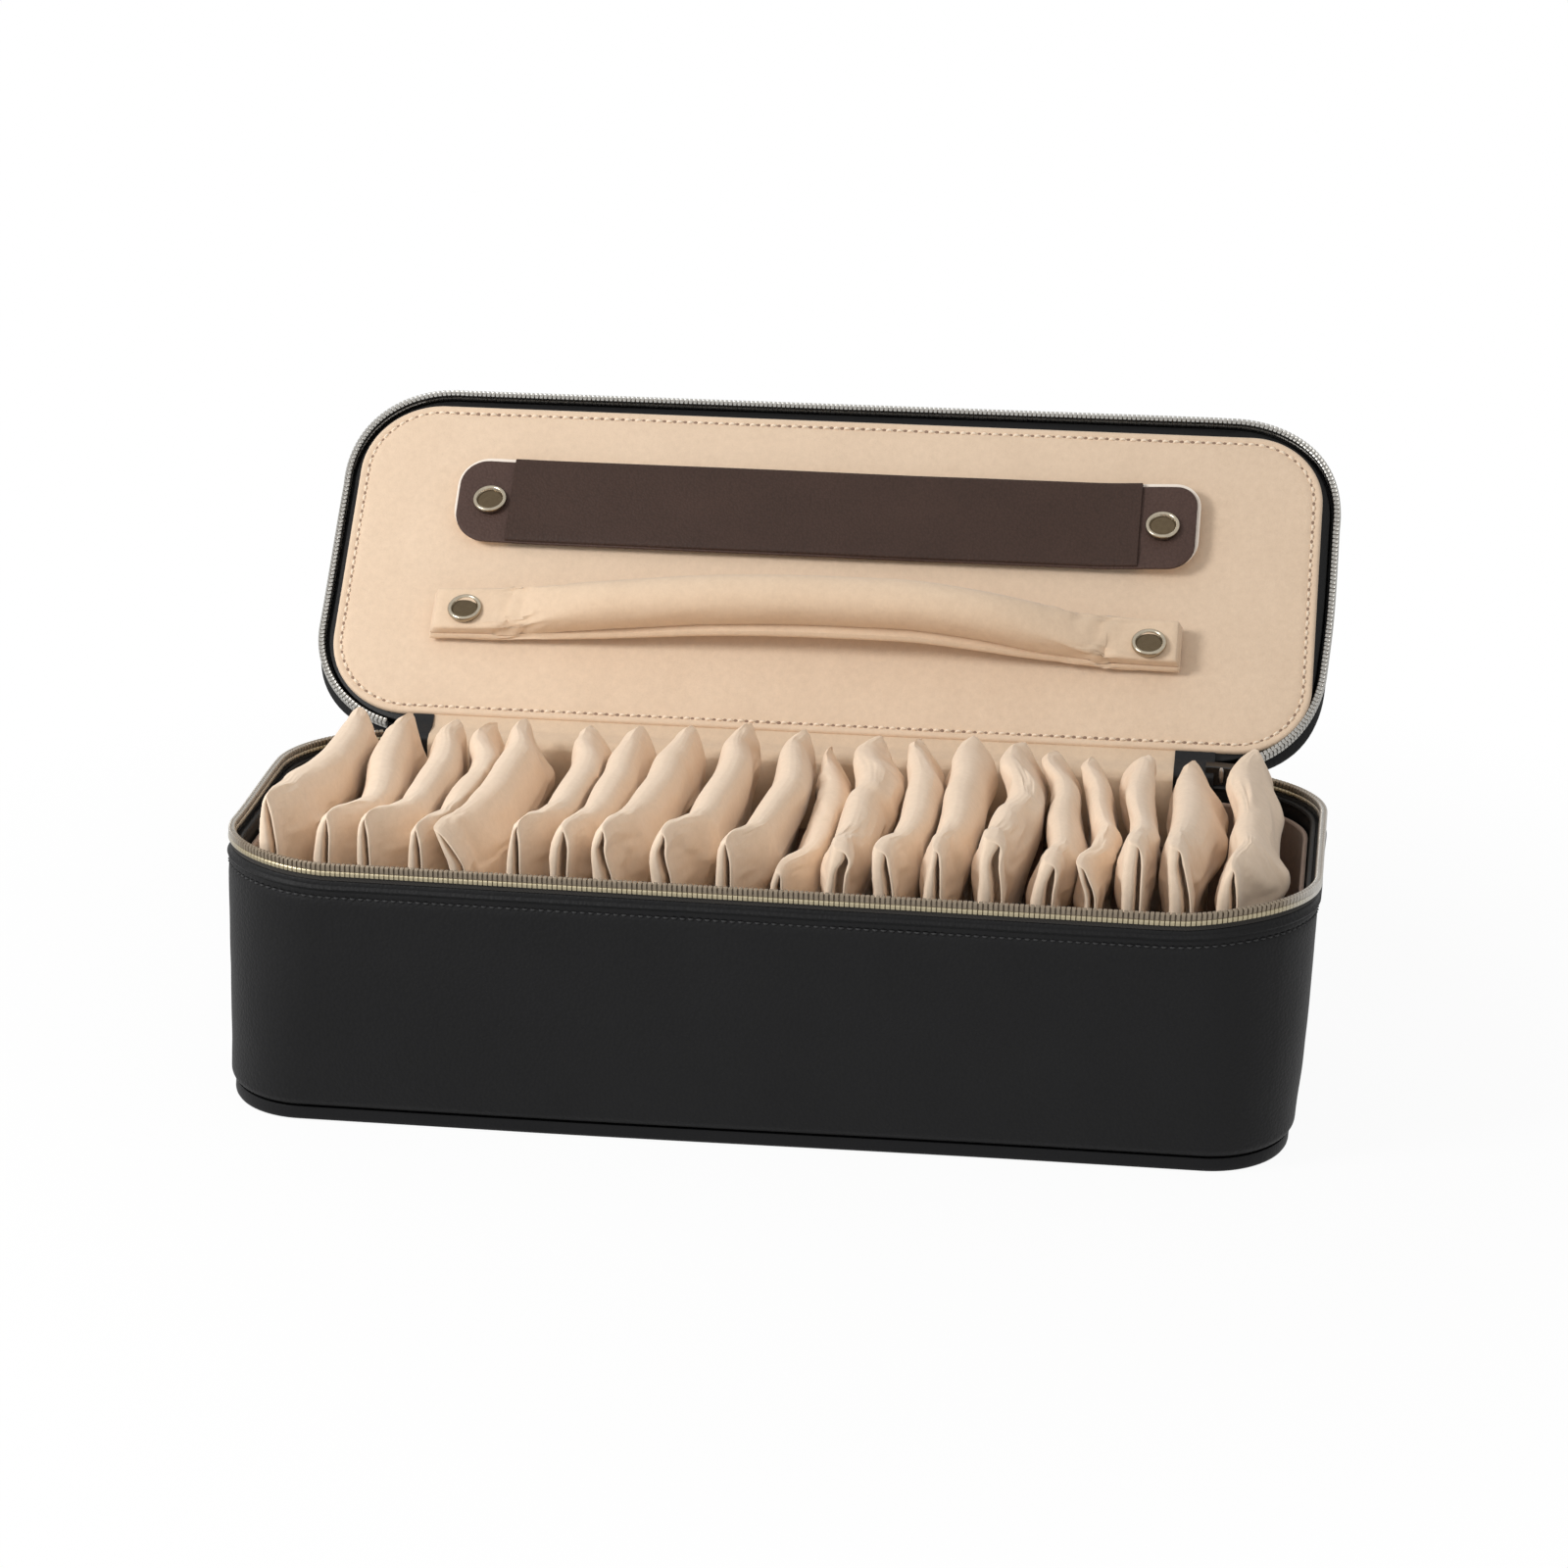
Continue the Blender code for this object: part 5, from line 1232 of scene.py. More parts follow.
# Pouches, each read from the photograph in pixels: the front edge from the zip up, the crown
# from the front corner to the back tip, the mouth's slit from its top down, and the outline
# that falls away to the right of the tip
POUCH_PIXELS = (
    (((260, 862), (262, 838), (266, 818)),
     ((272, 810), (283, 798), (295, 784), (310, 775), (330, 760), (345, 742), (355, 728), (366, 719)),
     ((271, 815), (280, 868)),
     ((376, 727), (381, 742), (387, 757))),
    (((318, 878), (320, 862), (322, 848), (327, 836)),
     ((333, 831), (345, 826), (355, 819), (368, 811), (371, 800), (373, 785), (380, 765), (388, 750),
      (400, 735), (410, 727), (417, 725)),
     ((333, 838), (332, 878)),
     ((424, 737), (430, 750), (434, 765), (436, 775))),
    (((363, 880), (363, 860), (364, 845), (368, 835)),
     ((374, 831), (385, 829), (395, 824), (405, 819), (412, 808), (420, 795), (430, 780), (437, 770),
      (441, 758), (450, 742), (460, 733), (467, 733)),
     ((371, 838), (374, 878)),
     ((475, 745), (478, 757), (478, 775))),
    (((415, 883), (416, 865), (418, 850)),
     ((424, 842), (432, 838), (445, 828), (450, 818), (460, 803), (470, 790), (479, 779), (480, 765),
      (481, 752), (486, 742), (494, 736), (501, 735)),
     ((424, 848), (427, 883)),
     ((508, 742), (514, 752))),
    (((458, 886), (449, 865)),
     ((441, 845), (450, 835), (460, 825), (475, 812), (490, 797), (500, 782), (510, 768), (520, 752),
      (522, 740), (530, 732), (535, 731)),
     ((446, 846), (471, 886)),
     ((543, 740), (548, 755), (551, 762), (557, 775), (565, 787), (570, 790))),
    (((515, 890), (517, 870), (520, 855), (523, 843)),
     ((530, 838), (540, 836), (548, 829), (558, 817), (568, 800), (577, 788), (584, 776), (584, 765),
      (587, 752), (593, 742), (600, 738)),
     ((526, 845), (527, 888)),
     ((608, 741), (615, 750), (620, 760))),
    (((560, 893), (559, 875), (561, 862), (566, 850)),
     ((572, 843), (580, 835), (590, 825), (600, 810), (608, 795), (616, 783), (620, 770), (628, 760),
      (637, 748), (645, 741), (651, 739)),
     ((575, 858), (573, 893)),
     ((659, 744), (664, 755), (668, 765))),
    (((604, 897), (602, 880), (602, 865), (606, 852)),
     ((614, 843), (622, 835), (632, 822), (642, 811), (650, 800), (658, 790), (665, 775), (671, 765),
      (680, 758), (688, 748), (695, 742), (703, 738)),
     ((615, 857), (612, 868), (616, 885), (622, 898)),
     ((711, 747), (716, 757))),
    (((664, 900), (661, 885), (662, 870), (667, 858)),
     ((674, 847), (683, 840), (692, 833), (702, 828), (708, 815), (714, 805), (722, 793), (730, 780),
      (736, 765), (742, 752), (750, 743), (757, 737), (763, 736)),
     ((677, 860), (674, 872), (677, 885), (681, 898)),
     ((769, 745), (774, 755))),
    (((729, 903), (730, 885), (731, 870), (735, 860)),
     ((741, 856), (751, 851), (758, 843), (764, 832), (770, 822), (777, 810), (785, 800), (791, 788),
      (792, 775), (797, 762), (804, 750), (812, 744), (818, 742)),
     ((740, 862), (742, 885)),
     ((826, 750), (829, 762))),
    (((785, 906), (787, 899)),
     ((791, 888), (800, 876), (811, 865), (819, 858), (821, 848), (827, 835), (831, 826), (833, 812),
      (834, 798), (836, 786), (839, 778), (841, 769), (847, 759)),
     ((797, 891), (794, 905)),
     ((851, 768), (854, 776), (868, 798))),
    (((841, 911), (843, 898), (846, 879)),
     ((849, 864), (851, 848), (854, 836), (859, 824), (863, 812), (869, 802), (876, 795), (872, 786),
      (873, 778), (877, 766), (881, 758), (887, 752), (893, 749)),
     ((863, 881), (857, 891), (855, 909)),
     ((900, 754), (904, 765), (910, 775), (917, 785), (921, 795), (920, 808), (919, 821), (914, 834))),
    (((891, 911), (889, 898), (889, 884), (889, 872)),
     ((891, 865), (899, 858), (907, 851), (913, 842), (917, 832), (921, 818), (924, 806), (925, 801),
      (924, 789), (924, 776), (926, 766), (929, 756), (938, 751)),
     ((904, 871), (903, 886), (907, 911)),
     ((944, 758), (949, 768), (956, 779), (960, 789), (961, 798))),
    (((941, 915), (944, 901), (949, 879)),
     ((951, 864), (954, 848), (959, 832), (961, 819), (964, 806), (966, 795), (970, 788), (971, 776),
      (974, 766), (980, 756), (990, 749)),
     ((957, 874), (956, 886), (956, 915)),
     ((1001, 755), (1010, 767), (1016, 782), (1017, 791))),
    (((997, 919), (999, 901), (999, 879), (1001, 866)),
     ((1003, 855), (1007, 842), (1011, 832), (1017, 822), (1024, 815), (1031, 811), (1030, 805),
      (1024, 798), (1021, 789), (1023, 779), (1026, 768), (1031, 759), (1039, 756)),
     ((1020, 866), (1016, 874), (1014, 886), (1016, 901), (1017, 912)),
     ((1046, 759), (1050, 768), (1056, 779), (1060, 789), (1066, 799), (1066, 820))),
    (((1051, 921), (1053, 911), (1057, 898), (1060, 886)),
     ((1064, 878), (1069, 871), (1066, 861), (1067, 846), (1069, 829), (1071, 818), (1074, 804),
      (1070, 795), (1064, 782), (1064, 775), (1066, 768), (1077, 763)),
     ((1077, 884), (1074, 894), (1071, 905), (1069, 919)),
     ((1084, 768), (1091, 778), (1097, 786), (1101, 796), (1102, 808), (1103, 822), (1104, 834),
      (1106, 846))),
    (((1108, 918), (1102, 900)),
     ((1097, 880), (1101, 872), (1110, 867), (1114, 859), (1112, 850), (1114, 839), (1111, 829),
      (1110, 815), (1109, 804), (1106, 795), (1104, 786), (1105, 776), (1113, 769)),
     ((1104, 881), (1109, 901), (1114, 915)),
     ((1120, 775), (1129, 788), (1134, 801), (1137, 815), (1139, 829), (1141, 844), (1143, 872),
      (1140, 886), (1134, 905), (1129, 915))),
    (((1144, 921), (1144, 901), (1146, 879), (1149, 865)),
     ((1151, 858), (1153, 849), (1150, 844), (1147, 829), (1146, 815), (1147, 801), (1150, 786),
      (1156, 778), (1163, 772), (1171, 769)),
     ((1162, 882), (1161, 901), (1160, 921)),
     ((1177, 772), (1186, 784), (1180, 801), (1180, 818), (1181, 836), (1183, 848), (1186, 858),
      (1186, 879))),
    (((1193, 921), (1192, 901), (1191, 879)),
     ((1192, 862), (1193, 844), (1194, 829), (1196, 815), (1198, 801), (1201, 789), (1206, 782),
      (1211, 776), (1217, 774)),
     ((1204, 884), (1206, 894), (1208, 905), (1211, 921)),
     ((1224, 779), (1230, 788), (1236, 798), (1241, 809), (1247, 821), (1251, 832), (1252, 844),
      (1251, 858), (1250, 872))),
    (((1241, 921), (1243, 912), (1246, 902), (1250, 894)),
     ((1256, 884), (1257, 872), (1256, 861), (1257, 851), (1260, 841), (1262, 834), (1260, 824),
      (1254, 815), (1251, 804), (1254, 792), (1259, 781), (1264, 774), (1271, 768), (1279, 764)),
     ((1259, 894), (1258, 901), (1259, 924)),
     ((1286, 768), (1290, 775), (1293, 786), (1299, 799), (1301, 812), (1307, 824), (1310, 834),
      (1304, 852), (1304, 865), (1307, 879), (1311, 895), (1317, 905))),
)
POUCH_FLOOR = 0.0094
POUCH_FRONT = -0.0515
POUCH_BACK = 0.0503
POUCH_TIP = 0.0465
POUCH_FIRST_X = 0.1385
POUCH_LEAF = 0.0017
POUCH_MOUTH_DEPTH = 0.0090
POUCH_SLIT = 0.0012
POUCH_SKIN = 0.0008
# Mouths that stand open more than the rest, by pouch number
POUCH_GAPES = {6: 0.0022, 7: 0.0017, 8: 0.0017, 11: 0.0024, 12: 0.0015, 14: 0.0022, 15: 0.0018, 18: 0.0016}
POUCH_HOOD = 0.0020
POUCH_CLEAR = 0.0009
POUCH_END_ROUND = 0.0075
POUCH_LEAN = 0.0030
# How far the pouches' sides keep from the tray's ends: before they are puffed, and after
POUCH_WALL_GAP = 0.0056
PUFFED_WALL_GAP = 0.0052
LEAST_HALF = 0.0001
CROWN_CLEAR = 0.001
# Half the thickness along the pouch, as shares of its length and metres
POUCH_BODY = (
    (0.0, 0.0034), (0.08, 0.0050), (0.18, 0.0064), (0.32, 0.0072), (0.50, 0.0074),
    (0.68, 0.0072), (0.84, 0.0068), (0.94, 0.0064), (1.0, 0.0060),
)
# Distance below the crown, and the share of the thickness reached there
POUCH_SWELL = (
    (0.0, 0.0), (0.0003, 0.22), (0.0008, 0.36), (0.0016, 0.50), (0.003, 0.64), (0.0055, 0.79),
    (0.009, 0.91), (0.013, 0.99), (0.016, 1.0), (0.021, 0.86), (0.030, 0.64), (0.045, 0.50), (0.1, 0.46),
)
POUCH_ROWS = (
    0.0, 0.02, 0.16, 0.32, 0.46, 0.57, 0.66, 0.73, 0.79, 0.838, 0.876, 0.907, 0.932, 0.952, 0.968,
    0.980, 0.989, 0.9955,
)
POUCH_COLUMNS = (
    0.012, 0.030, 0.055, 0.085, 0.12, 0.16, 0.205, 0.25, 0.30, 0.35, 0.40, 0.45, 0.50, 0.55, 0.60,
    0.65, 0.70, 0.75, 0.80, 0.845, 0.885, 0.92, 0.948, 0.970, 0.986, 0.997,
)
OUTLINE_ROUNDS = 14
OUTLINE_REACH_Y = 0.012
OUTLINE_REACH_Z = 0.008
OUTLINE_MOST = 0.0009


def sight(pixel):
    """The direction from the camera through one pixel of the photograph."""
    across, down = pixel[0] - PHOTO_SIZE / 2, pixel[1] - PHOTO_SIZE / 2
    return CAMERA_FORWARD + CAMERA_RIGHT * (across / CAMERA_REACH) - CAMERA_UP * (down / CAMERA_REACH)


def seen_at(places):
    """The photograph's pixels for an array of places, and how many pixels a metre takes there."""
    rays = np.asarray(places) - np.array(CAMERA_PLACE)
    depth = rays @ np.array(CAMERA_FORWARD)
    across = PHOTO_SIZE / 2 + CAMERA_REACH * (rays @ np.array(CAMERA_RIGHT)) / depth
    down = PHOTO_SIZE / 2 - CAMERA_REACH * (rays @ np.array(CAMERA_UP)) / depth
    return across, down, CAMERA_REACH / depth


def at_depth(pixel, y):
    """The place behind a pixel at one depth of the case."""
    ray = sight(pixel)
    return CAMERA_PLACE + ray * ((y - CAMERA_PLACE.y) / ray.y)


def on_slope(pixel, front, back):
    """The place behind a pixel on a line of heights from the front to the back."""
    ray = sight(pixel)
    slope = (back.z - front.z) / (back.y - front.y)
    level = front.z + (CAMERA_PLACE.y - front.y) * slope - CAMERA_PLACE.z
    return CAMERA_PLACE + ray * (level / (ray.z - slope * ray.y))


class Pouch:
    """One padded sleeve of folded suede, standing on edge with its mouth at the front."""

    def __init__(self, number):
        edge, crown, slit, beside = POUCH_PIXELS[number]
        last = len(POUCH_PIXELS) - 1
        self.number = number
        self.foot = POUCH_FIRST_X * (2 * number / last - 1)
        corner, tip = at_depth(crown[0], POUCH_FRONT), at_depth(crown[-1], POUCH_TIP)
        ridge = [corner]
        for pixel in crown[1:-1]:
            place = on_slope(pixel, corner, tip)
            if ridge[-1].y + 0.0008 < place.y < POUCH_TIP - 0.0008:
                ridge.append(place)
        ridge.append(tip)
        front = [at_depth(pixel, POUCH_FRONT) for pixel in edge] + [corner]
        mouth = [at_depth(pixel, POUCH_FRONT) for pixel in slit][::-1]
        self.edge = ([place.z for place in front], [place.x for place in front])
        self.slit = ([place.z for place in mouth], [place.x for place in mouth])
        span = POUCH_BACK - POUCH_FRONT
        self.y = POUCH_FRONT + span * np.array((0.0,) + POUCH_COLUMNS)
        depths = [place.y for place in ridge]
        self.top = np.interp(self.y, depths, [place.z for place in ridge])
        shift = POUCH_LEAN * eased_all((self.y - POUCH_FRONT) / 0.025)
        shift *= eased_all((POUCH_TIP - self.y) / 0.030)
        self.crown_x = np.interp(self.y, depths, [place.x for place in ridge]) + shift
        past = np.clip((self.y - POUCH_BACK + POUCH_END_ROUND) / POUCH_END_ROUND, 0, 1)
        self.round = np.sqrt(np.clip(1 - past ** 2, 0.03, 1))
        self.top -= 0.0030 * (1 - self.round)
        rows = np.array(POUCH_ROWS + (1.0,))
        self.z = POUCH_FLOOR + (self.top[:, None] - POUCH_FLOOR) * rows[None, :]
        along = (self.y - POUCH_FRONT) / span
        middle = self.foot + (self.crown_x[:, None] - self.foot) * rows[None, :] ** 1.6
        below = self.top[:, None] - self.z
        half = (table_values(POUCH_BODY, along) * self.round)[:, None] * table_values(POUCH_SWELL, below)
        self.left, self.right = middle - half, middle + half
        self.match_outline(crown[1:], beside)
        self.set_mouth()

    def grid(self, face):
        return np.stack([face, np.broadcast_to(self.y[:, None], face.shape), self.z], axis=-1)

    def match_outline(self, left_pixels, right_pixels):
        """Presses the body in or out, a little at a time, until its outline falls where it was read."""
        depth_of = np.broadcast_to(self.y[:, None], self.z.shape)
        for _ in range(OUTLINE_ROUNDS):
            for pixels, sense in ((left_pixels, 1), (right_pixels, -1)):
                face = self.left if sense > 0 else self.right
                across, down, scale = seen_at(self.grid(face))
                for u, v in pixels:
                    near = np.abs(down - v) < 3.5
                    if not near.any():
                        continue
                    spot = np.unravel_index(np.argmin(np.where(near, across * sense, 1e9)), across.shape)
                    miss = float(np.clip(0.5 * (u - across[spot]) / scale[spot], -OUTLINE_MOST, OUTLINE_MOST))
                    pull = miss * np.exp(
                        -((depth_of - depth_of[spot]) / OUTLINE_REACH_Y) ** 2
                        - ((self.z - self.z[spot]) / OUTLINE_REACH_Z) ** 2
                    )
                    if sense > 0:
                        self.left = self.left + pull
                    self.right = self.right + pull * (0.8 if sense > 0 else 1.0)
            thin = np.maximum(self.right - self.left, 0.0)
            middle = (self.left + self.right) / 2
            close = np.minimum(thin, 0.019 * table_values(POUCH_SWELL, self.top[:, None] - self.z))
            self.left, self.right = middle - close / 2, middle + close / 2

    def front_line(self, table, heights, foot):
        """Where a line at the mouth lies, eased to the foot below what shows."""
        low = table[0][0]
        share = eased_all((low - heights) / (low - POUCH_FLOOR))
        return np.interp(heights, table[0], table[1]) * (1 - share) + foot * share

    def set_mouth(self):
        """Draws the front end in to the lips read from the photograph."""
        lip = self.front_line(self.edge, self.z, self.foot - POUCH_BODY[0][1])
        gape = POUCH_GAPES.get(self.number, POUCH_SLIT)
        leaf = self.front_line(self.slit, self.z, self.foot) + POUCH_LEAF + (gape - POUCH_SLIT) / 2
        below = np.clip(self.top[0] - self.z, 0.0, None)
        leaf = lip + (leaf - lip) * table_values(POUCH_SWELL, np.minimum(below * 3.0, 0.016))
        left_share = eased_all((self.y - POUCH_FRONT) / 0.022)[:, None]
        right_share = eased_all((self.y - POUCH_FRONT - 0.0018) / 0.017)[:, None]
        self.left = lip * (1 - left_share) + self.left * left_share
        self.right = leaf * (1 - right_share) + self.right * right_share
        self.right = np.maximum(self.right, self.left)

    def slit_places(self, y, heights):
        """The slit's line at one depth: straight back, but held inside the left leaf's skin."""
        place = self.front_line(self.slit, heights, self.foot)
        column = int(np.argmin(np.abs(self.y - y)))
        gape = POUCH_GAPES.get(self.number, POUCH_SLIT)
        skin_x = np.interp(heights, self.z[column], self.left[column])
        return np.maximum(place, skin_x + POUCH_SKIN + gape / 2)


def other_side(pouch, other, side, column, beyond):
    """Where a neighbour's side stands at one column's heights, or beyond where its crown is lower."""
    found = np.interp(pouch.z[column], other.z[column], side[column])
    return np.where(pouch.z[column] > other.top[column], beyond, found)


def hold_apart(pouches):
    """Presses each pouch back from its neighbours and from the ends of the tray."""
    wall = HALF_WIDTH - POUCH_WALL_GAP
    for first, second in zip(pouches, pouches[1:]):
        right, left = first.right.copy(), second.left.copy()
        for column in range(len(first.y)):
            other = other_side(first, second, second.left, column, 1.0)
            right[column] = np.minimum(right[column], (first.right[column] + other - POUCH_CLEAR) / 2)
            other = other_side(second, first, first.right, column, -1.0)
            left[column] = np.maximum(left[column], (second.left[column] + other + POUCH_CLEAR) / 2)
        first.right, second.left = right, left
    for pouch in pouches:
        pouch.left, pouch.right = np.clip(pouch.left, -wall, wall), np.clip(pouch.right, -wall, wall)
        middle = (pouch.left + pouch.right) / 2
        crossed = pouch.right < pouch.left + 2 * LEAST_HALF
        pouch.left = np.where(crossed, middle - LEAST_HALF, pouch.left)
        pouch.right = np.where(crossed, middle + LEAST_HALF, pouch.right)


def tray_reach(x, z):
    """How far forward or back the tray's inside lets a pouch reach."""
    radius = corner_radius(z) - 0.0066
    beyond = max(0.0, abs(x) - (HALF_WIDTH - corner_radius(z)))
    return HALF_DEPTH - corner_radius(z) + math.sqrt(max(0.0, radius * radius - beyond * beyond))


def pouch_loop(pouch, column, shrink=1.0):
    """The closed section at one depth: up the left, over the crown, down the right."""
    left, right, heights = pouch.left[column], pouch.right[column], pouch.z[column]
    middle = (left + right) / 2
    left, right = middle + (left - middle) * shrink, middle + (right - middle) * shrink
    loop = [(left[row], heights[row]) for row in range(len(POUCH_ROWS))]
    loop.append((middle[-1], heights[-1]))
    loop += [(right[row], heights[row]) for row in reversed(range(len(POUCH_ROWS)))]
    loop.append((middle[0], heights[0]))
    points = []
    for x, z in loop:
        reach = tray_reach(x, z)
        points.append((x, max(-reach, min(reach, pouch.y[column])), z))
    return np.array(points)


def mouth_loop(pouch, y, spread):
    """The hollow between the two leaves at one depth. spread 1 is the slit, 0 the skin."""
    outer = pouch_loop(pouch, 0)
    top = pouch.top[0] - POUCH_HOOD
    low = POUCH_FLOOR + 0.003
    count = len(POUCH_ROWS)
    shares = np.array(POUCH_ROWS + (1.0,) + POUCH_ROWS[::-1] + (0.0,))
    sides = np.array((-1.0,) * count + (0.0,) + (1.0,) * count + (0.0,))
    heights = low + (top - low) * shares
    width = POUCH_GAPES.get(pouch.number, POUCH_SLIT) * np.minimum(1.0, (1 - shares) * 14)
    across = pouch.slit_places(y, heights) + sides * width / 2
    inner = np.stack([across, np.full(len(shares), y), heights], axis=1)
    return outer * (1 - spread) + inner * spread


def pouch_form(pouch):
    loops = [
        mouth_loop(pouch, POUCH_FRONT + POUCH_MOUTH_DEPTH, 1.0),
        mouth_loop(pouch, POUCH_FRONT + POUCH_MOUTH_DEPTH * 0.5, 1.0),
        mouth_loop(pouch, POUCH_FRONT + 0.0014, 1.0),
        mouth_loop(pouch, POUCH_FRONT, 0.82),
        mouth_loop(pouch, POUCH_FRONT, 0.24),
    ]
    for loop in loops[3:]:
        loop[:, 1] = POUCH_FRONT - 0.0004
    loops += [pouch_loop(pouch, column) for column in range(1, len(pouch.y))]
    return skin(loops)


CLOTH_FRAMES = 20
CLOTH_SLACK = -0.055
CLOTH_MOST = 0.0020
CLOTH_SMOOTHINGS = 12
CLOTH_KEPT_SWELL = 0.25
CLOTH_SETTINGS = {
    "quality": 4,
    "mass": 0.12,
    "tension_stiffness": 12.0,
    "compression_stiffness": 10.0,
    "shear_stiffness": 4.0,
    "bending_stiffness": 0.05,
    "tension_damping": 8.0,
    "compression_damping": 8.0,
    "air_damping": 3.0,
    "use_pressure": True,
    "uniform_pressure_force": 4.0,
    "shrink_min": CLOTH_SLACK,
    "shrink_max": CLOTH_SLACK * 0.6,
    "vertex_group_mass": "held",
}


def refined(form):
    """The same form with every face split in four."""
    mesh = bpy.data.meshes.new("refined")
    mesh.from_pydata([tuple(point) for point in form[0]], [], form[1])
    work = bmesh.new()
    work.from_mesh(mesh)
    bmesh.ops.subdivide_edges(work, edges=work.edges[:], cuts=1, use_grid_fill=True)
    points = np.array([vert.co[:] for vert in work.verts])
    faces = [tuple(vert.index for vert in face.verts) for face in work.faces]
    work.free()
    bpy.data.meshes.remove(mesh)
    return points, faces


def evened(moved, faces):
    """Each point's movement, averaged again and again with its neighbours': the swell without its folds."""
    firsts, seconds = np.array([
        pair for face in faces for pair in zip(face, face[1:] + face[:1])
    ]).T
    size = len(moved)
    counts = np.bincount(firsts, minlength=size) + np.bincount(seconds, minlength=size) + 1
    for _ in range(CLOTH_SMOOTHINGS):
        total = moved.copy()
        for axis in range(3):
            total[:, axis] += np.bincount(firsts, moved[seconds, axis], size)
            total[:, axis] += np.bincount(seconds, moved[firsts, axis], size)
        moved = total / counts[:, None]
    return moved


def puffed(forms, holds):
    """Forms after their cloth has been let out a little and filled with soft pressure."""
    scene = bpy.context.scene
    made = []
    for number, ((points, faces), held) in enumerate(zip(forms, holds)):
        mesh = bpy.data.meshes.new(f"cloth_{number}")
        mesh.from_pydata([tuple(point) for point in points], [], faces)
        cloth = added(f"cloth_{number}", mesh)
        group = cloth.vertex_groups.new(name="held")
        for index, weight in enumerate(held):
            if weight > 0.01:
                group.add([index], float(weight), "REPLACE")
        sim = cloth.modifiers.new("cloth", "CLOTH")
        for name, value in CLOTH_SETTINGS.items():
            setattr(sim.settings, name, value)
        sim.settings.effector_weights.gravity = 0.0
        sim.collision_settings.use_collision = False
        sim.point_cache.frame_start = 1
        sim.point_cache.frame_end = CLOTH_FRAMES
        made.append(cloth)
    for frame_number in range(1, CLOTH_FRAMES + 1):
        scene.frame_set(frame_number)
    view = bpy.context.evaluated_depsgraph_get()
    found = []
    for cloth, (points, faces) in zip(made, forms):
        shaped = cloth.evaluated_get(view).to_mesh()
        moved = np.array([vert.co[:] for vert in shaped.vertices]) - points
        size = np.linalg.norm(moved, axis=1, keepdims=True) + 1e-9
        moved = moved / size * CLOTH_MOST * np.tanh(size / CLOTH_MOST)
        moved = moved - (1 - CLOTH_KEPT_SWELL) * evened(moved, faces)
        found.append((points + moved, faces))
        cloth.evaluated_get(view).to_mesh_clear()
    for cloth in made:
        mesh = cloth.data
        bpy.data.objects.remove(cloth)
        bpy.data.meshes.remove(mesh)
    scene.frame_set(1)
    return found


def pouch_holds(points):
    """How firmly each point is held: fully at the mouth's lips and in the tray below."""
    lips = 1 - eased_all((points[:, 1] - POUCH_FRONT - 0.0015) / 0.012)
    low = 1 - eased_all((points[:, 2] - POUCH_FLOOR - 0.012) / 0.030)
    return np.maximum(lips, low)


def kept_apart(pouches, number, points):
    """Holds a puffed pouch's points short of its neighbours and the ends of the tray."""
    pouch = pouches[number]
    wall = HALF_WIDTH - PUFFED_WALL_GAP

    def halfway(other, far_sides, near_sides, column, z):
        far = np.interp(z, other.z[column], far_sides[column])
        return (far + np.interp(z, pouch.z[column], near_sides[column])) / 2

    for index, (x, y, z) in enumerate(points):
        column = int(np.argmin(np.abs(pouch.y - y)))
        least, most = -wall, wall
        if number > 0 and z < pouches[number - 1].top[column] + CROWN_CLEAR:
            other = pouches[number - 1]
            least = max(least, halfway(other, other.right, pouch.left, column, z) + LEAST_HALF)
        if number < len(pouches) - 1 and z < pouches[number + 1].top[column] + CROWN_CLEAR:
            other = pouches[number + 1]
            most = min(most, halfway(other, other.left, pouch.right, column, z) - LEAST_HALF)
        if least < most:
            points[index, 0] = min(max(x, least), most)
    return points


def roll_holds(points):
    """How firmly each point of the roll is held: fully at its snapped ends."""
    from_end = np.minimum(points[:, 0] - ROLL_LEFT, ROLL_RIGHT - points[:, 0])
    return 1 - eased_all((from_end - ROLL_FLAT + 0.002) / 0.014)


def make_soft_pieces():
    """The pouches and the roll, whose suede is puffed together before each is finished."""
    pouches = [Pouch(number) for number in range(len(POUCH_PIXELS))]
    hold_apart(pouches)
    forms = [refined(pouch_form(pouch)) for pouch in pouches] + [roll_form()]
    forms = puffed(forms, [pouch_holds(form[0]) for form in forms[:-1]] + [roll_holds(forms[-1][0])])
    for pouch in pouches:
        kept_apart(pouches, pouch.number, forms[pouch.number][0])
    make_roll(forms[-1])
    for pouch, form in zip(pouches, forms):
        name = f"pouch_{pouch.number + 1:02d}"
        made = piece(f"suede_{name}", form, POUCH_SUEDE, name, "pouch_suede", [name], math.radians(80))
        soften = made.modifiers.new("soften", "SUBSURF")
        soften.levels = 1
        soften.render_levels = 1
        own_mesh(made)


# The bright bridge stands against the slider's inner face, from its foot to its top
SLIDER_BAR = (Vector((0.1286, 0.0577, 0.0752)), Vector((0.1285, 0.0577, 0.0800)))
SLIDER_BAR_HALF = 0.0008
SLIDER_BAR_NECK = 0.45
SLIDER_BAR_FLAT = 0.7
HARDWARE_ROUND = 0.00012


